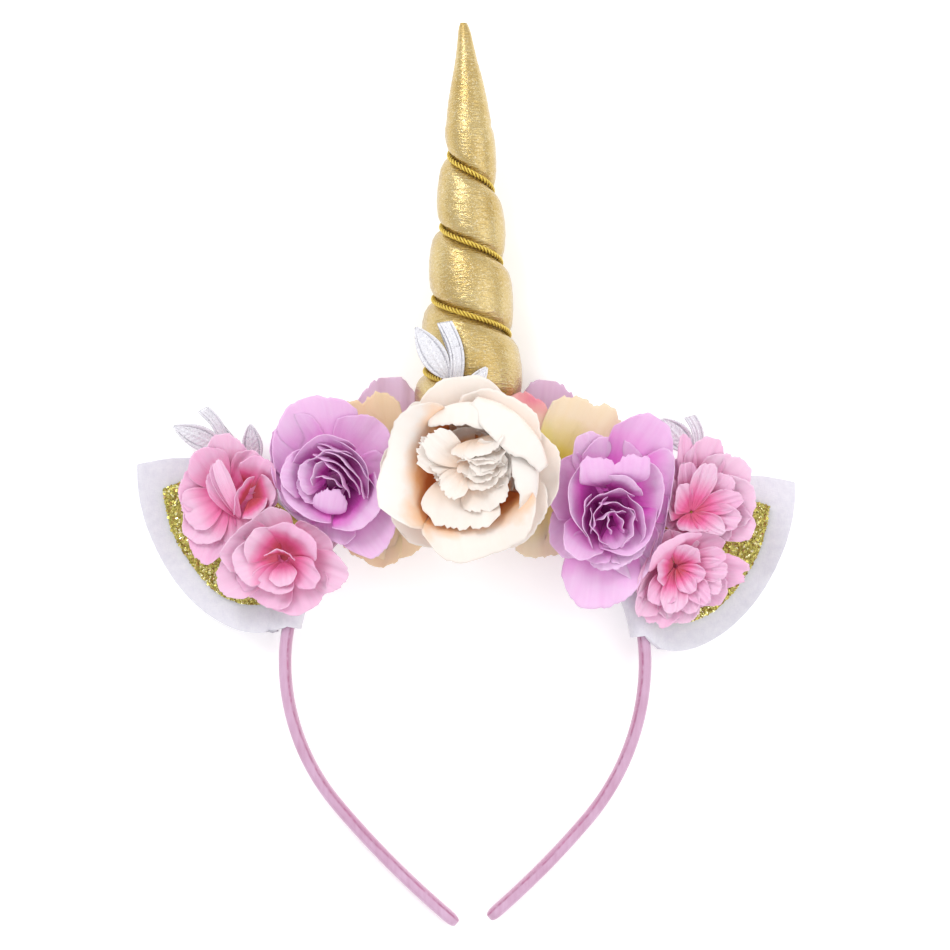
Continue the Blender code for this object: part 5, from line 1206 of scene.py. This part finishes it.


# Pink blossoms
# Four small full blossoms, two glued on each ear. Thin open petals stand round narrow folded ones, and the
# colour runs from pale rims to a strong pink at the roots, partly dye and partly painted shade.

PINK_COLOURS = ((0.81, 0.57, 0.715), (0.79, 0.42, 0.625), (0.79, 0.165, 0.385), (0.55, 0.085, 0.12))
PINK_OPEN = {"round_off": 0.28, "frill": 0.010, "crease": 0.6}
PINK_BLOOMS = {
    "left_upper": (
        (PINK_OPEN, (
            (93, 21.0, 7.5, 1.5, 1.0, 82, 56, 0.5, 10, 0.6, 0.55, 0.0),
            (124, 18.5, 8.0, 1.5, 1.6, 78, 52, 0.5, 12, 0.8, 0.50, 0.0),
            (165, 16.5, 9.5, 1.5, 0.8, 82, 60, 0.5, 10, 0.8, 0.45, 0.0),
            (205, 16.5, 8.0, 1.5, 1.8, 80, 58, 0.5, 12, 0.8, 0.60, 0.0),
            (230, 19.5, 8.5, 1.5, 1.2, 82, 62, 0.5, 12, 0.9, 0.60, 0.0),
            (252, 25.0, 9.0, 1.5, 0.8, 84, 66, 0.5, 12, 0.9, 0.60, 0.0),
            (-62, 19.0, 9.0, 1.5, 0.9, 82, 60, 0.5, 10, 0.8, 0.70, 0.0),
            (-15, 18.0, 9.0, 1.5, 0.8, 83, 62, 0.5, 10, 0.8, 0.70, 0.0),
            (45, 17.5, 8.5, 1.5, 1.2, 82, 56, 0.5, 10, 0.8, 0.60, 0.0),
        )),
        ({"middle": (7, -1), "roll_at": 0.62, "furl": 0.08, "crease": 0.4}, (
            (60, 16.5, 9.0, 1.5, 2.0, 74, 20, 0.9, 62, 0.5, 1.10, 0.0),
            (4, 11.5, 8.5, 1.5, 2.2, 70, 20, 0.9, 52, 0.5, 1.20, 0.0),
            (-55, 10.0, 6.0, 1.0, 3.0, 60, 30, 0.8, 20, 0.8, 1.20, 0.0),
            (150, 8.5, 8.0, 1.0, 2.6, 36, 0, 0.7, 10, 0.6, 1.20, 0.0),
        )),
        ({"middle": (4.5, -8.5), "furl": 0.10, "crease": 0.2}, (
            (126, 20.0, 4.4, 0.3, 2.6, 72, 70, 1.0, 8, 0.5, 0.60, 0.0),
            (118, 22.5, 3.2, 0.3, 4.0, 68, 76, 1.2, 6, 0.4, 0.40, 0.0),
            (112, 23.5, 3.0, 0.3, 5.6, 66, 76, 1.2, 6, 0.4, 0.30, 0.0),
        )),
    ),
    "left_lower": (
        (PINK_OPEN, (
            (160, 22.0, 10.5, 1.5, 1.2, 80, 56, 0.5, 10, 0.8, 0.60, 0.0),
            (115, 18.5, 10.0, 1.5, 0.8, 84, 66, 0.5, 10, 0.6, 0.50, 0.0),
            (200, 24.0, 9.0, 1.5, 0.8, 84, 66, 0.5, 10, 0.8, 0.50, 0.0),
            (-122, 17.5, 11.0, 1.5, 1.0, 83, 62, 0.5, 10, 0.8, 0.50, 0.0),
            (-62, 19.5, 12.0, 1.5, 0.8, 83, 62, 0.5, 12, 0.8, 0.45, 0.0),
            (-15, 24.0, 8.0, 1.5, 1.6, 80, 60, 0.5, 10, 0.9, 0.50, 0.0),
            (30, 18.0, 9.0, 1.5, 0.8, 84, 64, 0.5, 8, 0.8, 0.60, 0.0),
        )),
        ({"roll_at": 0.60, "furl": 0.12, "crease": 0.5}, (
            (52, 16.5, 10.5, 2.0, 2.2, 60, 12, 0.75, 78, 0.5, 0.80, 0.0),
            (187, 16.5, 8.5, 2.0, 2.6, 70, 44, 0.7, 22, 0.7, 0.90, 0.0),
            (140, 14.0, 8.5, 2.0, 2.4, 66, 34, 0.7, 30, 0.7, 1.00, 0.0),
            (-110, 12.0, 8.0, 2.0, 2.8, 66, 46, 0.7, 20, 0.9, 0.75, 0.0),
            (-80, 9.0, 5.5, 1.5, 5.0, 58, 50, 0.7, 16, 0.8, 0.60, 0.0),
            (-28, 15.0, 6.0, 2.0, 3.2, 68, 50, 0.7, 16, 1.0, 0.70, 0.0),
            (78, 11.0, 6.5, 1.0, 4.0, 30, 0, 1.3, 16, 0.5, 1.00, 0.0),
        )),
    ),
    "right_upper": (
        ({"middle": (-3, -5.5), **PINK_OPEN}, (
            (96, 27.0, 4.0, 1.5, 1.4, 80, 60, 0.8, 8, 0.5, 0.50, -0.1),
            (76, 26.5, 7.5, 1.5, 1.0, 82, 60, 0.5, 10, 0.9, 0.60, 0.0),
            (47, 25.0, 9.5, 1.5, 0.8, 82, 62, 0.5, 10, 0.9, 0.60, 0.0),
            (14, 22.5, 9.5, 1.5, 1.2, 82, 60, 0.5, 10, 0.9, 0.60, 0.0),
            (-20, 22.0, 9.0, 1.5, 0.8, 83, 62, 0.5, 10, 0.9, 0.60, 0.0),
            (-56, 17.5, 8.5, 1.5, 1.0, 83, 62, 0.5, 10, 0.8, 0.60, 0.0),
            (-105, 16.0, 9.0, 1.5, 0.8, 83, 70, 0.5, 10, 0.8, 0.70, 0.0),
            (195, 15.0, 8.5, 1.5, 0.8, 83, 70, 0.5, 10, 0.8, 0.70, 0.0),
            (120, 20.0, 7.0, 1.5, 0.8, 82, 60, 0.5, 10, 0.8, 0.60, 0.0),
            (158, 14.0, 8.5, 1.5, 0.8, 82, 60, 0.5, 10, 0.8, 0.60, 0.0),
        )),
        ({"middle": (-3, -5.5), "furl": 0.12, "crease": 0.9}, (
            (158, 17.0, 8.0, 0.5, 2.6, 74, 62, 0.4, 26, 1.0, 0.80, 0.0),
            (136, 12.5, 6.5, 0.5, 3.4, 62, 40, 0.5, 24, 0.9, 0.70, 0.0),
            (98, 18.5, 4.5, 0.5, 2.6, 72, 64, 0.6, 10, 0.9, 0.90, 0.0),
            (70, 19.5, 4.6, 0.5, 3.6, 68, 62, 0.7, 10, 0.9, 0.70, 0.0),
            (44, 19.0, 6.0, 0.5, 2.6, 72, 64, 0.5, 12, 1.1, 1.00, 0.0),
            (18, 19.0, 4.5, 0.5, 3.4, 70, 62, 0.5, 12, 1.1, 0.90, 0.0),
            (-12, 18.0, 5.5, 0.5, 2.8, 70, 62, 0.5, 12, 1.1, 1.00, 0.0),
            (-40, 15.0, 5.0, 0.5, 3.4, 68, 60, 0.5, 12, 1.1, 0.80, 0.0),
            (-96, 11.0, 6.5, 0.5, 3.0, 68, 60, 0.5, 12, 1.0, 0.80, 0.0),
        )),
    ),
    "right_lower": (
        ({"middle": (-4.5, 3.5), **PINK_OPEN}, (
            (-6, 26.0, 6.5, 1.5, 0.8, 84, 68, 0.5, 8, 1.1, 0.55, 0.10),
            (-30, 20.5, 7.5, 1.5, 1.2, 83, 64, 0.5, 10, 1.1, 0.60, 0.0),
            (-56, 18.5, 7.5, 1.5, 0.8, 84, 66, 0.5, 10, 1.1, 0.60, 0.10),
            (-82, 19.5, 8.0, 1.5, 1.2, 83, 64, 0.5, 10, 1.1, 0.60, 0.0),
            (-108, 21.0, 8.5, 1.5, 0.8, 84, 66, 0.5, 10, 1.0, 0.55, 0.10),
            (-138, 22.0, 8.5, 1.5, 1.0, 84, 66, 0.5, 10, 0.9, 0.55, 0.0),
            (-168, 20.5, 8.0, 1.5, 0.8, 84, 66, 0.5, 10, 0.8, 0.60, 0.0),
            (35, 20.0, 7.0, 1.5, 0.8, 83, 64, 0.5, 10, 0.8, 0.75, 0.0),
            (80, 12.0, 8.0, 1.5, 0.8, 84, 66, 0.5, 8, 0.8, 0.70, 0.0),
            (130, 14.0, 8.0, 1.5, 0.8, 84, 66, 0.5, 8, 0.8, 0.70, 0.0),
        )),
        ({"middle": (-2, 3.5), "roll_at": 0.55, "furl": 0.04}, (
            (122, 13.5, 12.0, 3.0, 2.8, 44, 8, 0.35, 74, 0.5, 0.50, 0.0),
            (20, 16.5, 4.2, 1.0, 3.0, 66, 56, 1.0, 10, 0.7, 0.55, 0.0),
        )),
        ({"middle": (-3.5, 3.0), "furl": 0.12, "crease": 0.9}, (
            (-2, 18.5, 4.4, 0.5, 3.2, 70, 64, 0.5, 12, 1.2, 0.80, 0.0),
            (-24, 17.5, 5.0, 0.5, 2.6, 72, 66, 0.5, 12, 1.2, 1.00, 0.0),
            (-48, 16.5, 4.6, 0.5, 3.4, 70, 62, 0.5, 12, 1.2, 0.90, 0.0),
            (-72, 17.0, 5.0, 0.5, 2.6, 72, 66, 0.5, 12, 1.2, 1.00, 0.0),
            (-98, 16.5, 5.0, 0.5, 3.4, 70, 62, 0.5, 12, 1.1, 0.90, 0.0),
            (-126, 15.5, 6.0, 0.5, 2.8, 72, 64, 0.5, 14, 1.0, 0.90, 0.0),
            (-60, 10.5, 3.6, 0.5, 4.4, 64, 58, 0.7, 10, 1.0, 1.00, 0.0),
            (-18, 10.5, 3.6, 0.5, 4.4, 64, 58, 0.7, 10, 1.0, 0.90, 0.0),
            (60, 10.5, 6.0, 1.0, 3.6, 60, 34, 0.6, 20, 0.8, 0.90, 0.0),
            (170, 9.0, 7.0, 1.0, 3.0, 60, 34, 0.6, 20, 0.8, 0.90, 0.0),
        )),
    ),
}

for where, groups in PINK_BLOOMS.items():
    name = f"pink_bloom_{where}"
    grids, marks = flower(name, groups, 53 if where.startswith("left") else 57)
    felt_top = felt_rise(grids[..., 0], grids[..., 1]) + FELT / 2
    grids = clear_below(grids, felt_top + PETALS_OVER_FELT)
    cloth = petal_finish(f"pink_petals_{where}", *PINK_COLOURS)
    blossom(name, grids, marks, cloth)


# Open blossoms
# Flat cloth blossoms fill the gaps behind the roses: peach ones on the band's front, with yellow at the foot
# of some petals and a blush edge on others, and pale lilac ones behind them on the band's outer side.

PEACH_LEFT = (
    (104, 36.5, 12.0, 1.0, 0.6, 86, 84, 0.22, 4, 0.8, 0.10, 0.05),
    (72, 27.0, 8.5, 1.0, 0.3, 87, 86, 0.18, 3, 0.5, 0.15, 0.0),
    (-78, 20.5, 11.0, 1.0, 0.9, 86, 85, 0.20, 3, 0.6, 0.25, 0.0),
    (-112, 23.0, 11.5, 1.0, 0.5, 86, 85, 0.20, 3, 0.6, 0.35, 0.05),
)
PEACH_RIGHT = (
    (62, 38.0, 13.5, 1.0, 0.8, 86, 83, 0.24, 4, 0.8, 1.0, 0.06),
    (112, 36.5, 12.5, 1.0, 0.4, 86, 84, 0.22, 4, 0.8, -1.0, 0.0),
    (-86, 20.0, 11.5, 1.0, 0.8, 85, 84, 0.20, 3, 0.7, 0.30, 0.0),
    (-122, 18.0, 8.0, 1.0, 0.4, 86, 85, 0.20, 3, 0.5, 0.10, 0.0),
)
PALE_LILAC_LEFT = (
    (92, 35.5, 11.0, 1.0, 0.6, 86, 90, 0.22, 3, 0.8, 0.5, 0.0),
    (132, 27.0, 9.5, 1.0, 0.3, 86, 90, 0.22, 3, 0.7, 0.4, 0.0),
)
PALE_LILAC_RIGHT = (
    (83, 34.5, 11.0, 1.0, 0.6, 86, 90, 0.22, 3, 0.8, 0.5, 0.0),
    (48, 27.0, 9.5, 1.0, 0.3, 86, 90, 0.22, 3, 0.7, 0.4, 0.0),
)
# rim, body, root and hollow colours of each: the root colour is partly dye and partly painted shade, the
# hollow colour painted shadow
PEACH_COLOURS = ((0.83, 0.66, 0.46), (0.81, 0.575, 0.365), (0.72, 0.60, 0.17), (0.66, 0.46, 0.08))
PALE_PEACH_COLOURS = ((0.81, 0.70, 0.55), (0.80, 0.66, 0.47), (0.74, 0.63, 0.13), (0.66, 0.50, 0.06))
PEACH_EDGE = (0.80, 0.245, 0.350)
PALE_LILAC_COLOURS = ((0.72, 0.55, 0.70), (0.64, 0.43, 0.61), (0.56, 0.23, 0.47), (0.34, 0.08, 0.26))

for name, table, colours, slot, seed in (
    ("peach_blossom_left", PEACH_LEFT, PEACH_COLOURS, "peach_cloth_left", 16),
    ("peach_blossom_right", PEACH_RIGHT, PALE_PEACH_COLOURS, "peach_cloth_right", 17),
    ("lilac_blossom_left", PALE_LILAC_LEFT, PALE_LILAC_COLOURS, "pale_lilac_cloth_left", 21),
    ("lilac_blossom_right", PALE_LILAC_RIGHT, PALE_LILAC_COLOURS, "pale_lilac_cloth_right", 22),
):
    grids, marks = petals(table, rows=34, columns=31, round_off=0.20, furl=0.02, frill=0.008, seed=seed)
    cloth = petal_finish(f"{name}_petals", *colours, edge=PEACH_EDGE)
    blossom(name, on_hub(grids, name), marks, cloth)


# Silver sprigs
# Leaves and bent straps stamped from thin silvery foil cloth, each on a twisted wire stem. The stems come
# from a small knot of wire, tucked in behind the roses: one on each ear and one lying on the horn.

FOIL = 0.0006
STRAP_BOW = 0.11
LEAVES_OVER_HORN = 0.0019
KNOT_LIFT = 0.0009
KNOT_RADIUS, HORN_KNOT_RADIUS = 0.0010, 0.0006
WIRE_TWIST = 0.0022
STEM = 0.0005
STEM_REACH = 0.2
BLADE_LIFT = 0.0002
VEIN_PITCH = 0.0019
# the knot's place and its height over the felt, with None for the one on the horn, how far the tips stand
# above the knot, and for each blade its root and tip as seen from the front and its half width
SPRIGS = {
    "left": ((-0.0840, 0.0640), 0.0032, 0.0030, (
        ("leaf", (-0.0850, 0.0750), (-0.1022, 0.0825), 0.0042),
        ("strap", (-0.0845, 0.0750), (-0.0920, 0.0885), 0.0021),
        ("leaf", (-0.0740, 0.0690), (-0.0755, 0.0832), 0.0036),
    )),
    "centre": ((-0.0030, 0.0840), None, 0.0015, (
        ("leaf", (-0.0060, 0.0990), (-0.0168, 0.1162), 0.0046),
        ("strap", (-0.0035, 0.0960), (-0.0070, 0.1180), 0.0026),
        ("leaf", (0.0000, 0.0920), (0.0075, 0.1025), 0.0028),
    )),
    "right": ((0.0760, 0.0640), 0.0032, 0.0030, (
        ("leaf", (0.0792, 0.0740), (0.0692, 0.0850), 0.0045),
        ("strap", (0.0818, 0.0740), (0.0788, 0.0862), 0.0021),
    )),
}
SILVER, SILVER_LIGHT, SILVER_SHADE = (0.63, 0.63, 0.69), (0.93, 0.93, 0.96), (0.22, 0.21, 0.27)


def blade(kind, root, tip, half, rows=56, columns=29):
    """A foil blade over its middle line, which arches by a sine; a strap's bows sideways by one too. A leaf's
    half width is a sine to a power, a strap's is nearly even with a square end. Stamped in it are a rim bead,
    a groove beside it, a midrib, and veins that slant on a leaf and run lengthwise on a strap."""
    t, s = np.linspace(0, 1, rows)[:, None], np.linspace(-1, 1, columns)[None]
    root, tip = np.array(root), np.array(tip)
    way = tip - root
    length = np.linalg.norm(way)
    across = np.cross(way, (0, 0, 1)) / np.linalg.norm(way[:2])
    if kind == "leaf":
        wide = half * np.sin(np.pi * (0.03 + 0.955 * t**0.9)) ** 0.8
        vein = np.cos((t * length - np.abs(s) * half * 0.9) * 2 * np.pi / VEIN_PITCH)
    else:
        wide = half * (0.86 + 0.14 * t) * np.minimum(1, 0.35 + t * 8)
        vein = np.cos(s * 3 * np.pi) + 0 * t
    size = np.abs(s)
    bead = 0.00022 * np.exp(-(((size - 0.88) / 0.07) ** 2))
    beside_bead = 0.00016 * np.exp(-(((size - 0.68) / 0.08) ** 2))
    midrib = 0.00020 * np.exp(-((s / 0.08) ** 2))
    stamp = bead - beside_bead + midrib + 0.00006 * vein * (size < 0.6)
    cupped = 0.10 * half * s * s
    arch = length * 0.06 * np.sin(np.pi * t)
    bow = STRAP_BOW * length * np.sin(np.pi * t) * (kind == "strap")
    grid = root + way * t[..., None] + across * (wide * s + bow)[..., None]
    grid[..., 2] += arch + (stamp + cupped) * np.minimum(1, 8 * t) * np.minimum(1, 8 * (1 - t) + 0.4)
    return grid, {"across": s + 0 * t}


def wire(start, end, radius, sides=14, rows=44):
    """Two wires twisted together from start to end: a round section with two lobes that turns as it goes."""
    start, end = np.array(start), np.array(end)
    way = end - start
    t = np.linspace(0, 1, rows)[:, None]
    beside = np.cross(way, (0.3, 0.2, 1.0))
    beside /= np.linalg.norm(beside)
    over = np.cross(beside, way) / np.linalg.norm(way)
    angle = 2 * np.pi * np.arange(sides) / sides
    twist = 2 * np.pi * np.linalg.norm(way) / WIRE_TWIST
    size = radius * (0.74 + 0.26 * np.abs(np.cos(angle[None] - twist * t)))
    middle = start + way * t
    return middle[:, None] + size[..., None] * (
        np.cos(angle)[:, None] * beside + np.sin(angle)[:, None] * over
    )


def knot(centre, radius, turns=5, rows=150, sides=10):
    """The stem's wire wound into a small ball: a circle whose plane turns slowly as the wire goes round."""
    t = np.linspace(0, 2 * np.pi * turns, rows)[:, None]
    tilt = t / turns / 2
    ring = np.concatenate([np.cos(t), np.sin(t) * np.cos(tilt), np.sin(t) * np.sin(tilt)], axis=1)
    middle = np.array(centre) + ring * radius
    way = np.gradient(middle, axis=0)
    way /= np.linalg.norm(way, axis=1, keepdims=True)
    over = np.cross(way, ring)
    angle = 2 * np.pi * np.arange(sides) / sides
    return middle[:, None] + STEM * 0.8 * (
        np.cos(angle)[:, None] * ring[:, None] + np.sin(angle)[:, None] * over[:, None]
    )


silver = Finish("silver_foil", Metallic=0.35, Specular_IOR_Level=0.6)
crumple = silver.noise(620.0, 3.0)
dust = silver.noise(3600.0, 1.0)
facets = silver.node("TexVoronoi", {"feature": "F1"}, {
    "Vector": silver.node("TexCoord", output="Object"), "Scale": 2600.0}, output="Color")
sparkle = silver.node("SeparateXYZ", {}, {0: facets}).between(0.72, 1.0)
groove = 1 - (silver.mark("across").size() - 0.68).size().between(0.02, 0.12)
colour = silver.blend((crumple * 0.7 + dust * 0.5).between(0.35, 0.85), SILVER, SILVER_LIGHT)
colour = silver.blend(groove * 0.70, colour, SILVER_SHADE)
colour = silver.blend((dust * 0.7 + crumple * 0.4).between(0.57, 0.70) * 0.65, colour, SILVER_SHADE)
# Painted glints: the brightest Voronoi cells turn to the pale silver.
colour = silver.blend(sparkle * 0.6, colour, SILVER_LIGHT)
silver_bump = silver.raised(dust, 0.00005, over=silver.raised(crumple, 0.00012, strength=0.5), strength=0.7)
silver.wear(Base_Color=colour, Roughness=0.42 - sparkle * 0.22 + dust * 0.12, Normal=silver_bump)

horn_face = HORN_FORWARD + over_cord(HORN_LENGTH) - 2 * CORD_RADIUS + LEAVES_OVER_HORN
for where, ((x, y), lift, rise, blades) in SPRIGS.items():
    height = horn_face + KNOT_LIFT if lift is None else float(felt_rise(x, y)) + FELT / 2 + lift
    base = np.array((x, y, height))
    low, high = height + BLADE_LIFT, height + rise
    grids, marks = joined([blade(kind, (*root, low), (*tip, high), half) for kind, root, tip, half in blades])
    leaves = new_piece(f"sprig_leaves_{where}", surface(f"sprig_leaves_{where}", grids, marks=marks), silver)
    thicken(leaves, FOIL, even=False)
    stems = np.stack([
        wire(base, (*(np.array(root) + (np.array(tip) - root) * STEM_REACH), low), STEM)
        for kind, root, tip, half in blades
    ])
    ball = knot(base, KNOT_RADIUS if lift else HORN_KNOT_RADIUS)
    pieces = [leaves]
    for part, grid in (("stems", stems), ("knot", ball)):
        name = f"sprig_{part}_{where}"
        mesh = surface(name, grid, around=True, capped=True, marks={"across": 0.0})
        face_out(mesh)
        pieces.append(new_piece(name, mesh, silver))
    for piece in pieces:
        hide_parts(f"leaf_sprig_{where}")
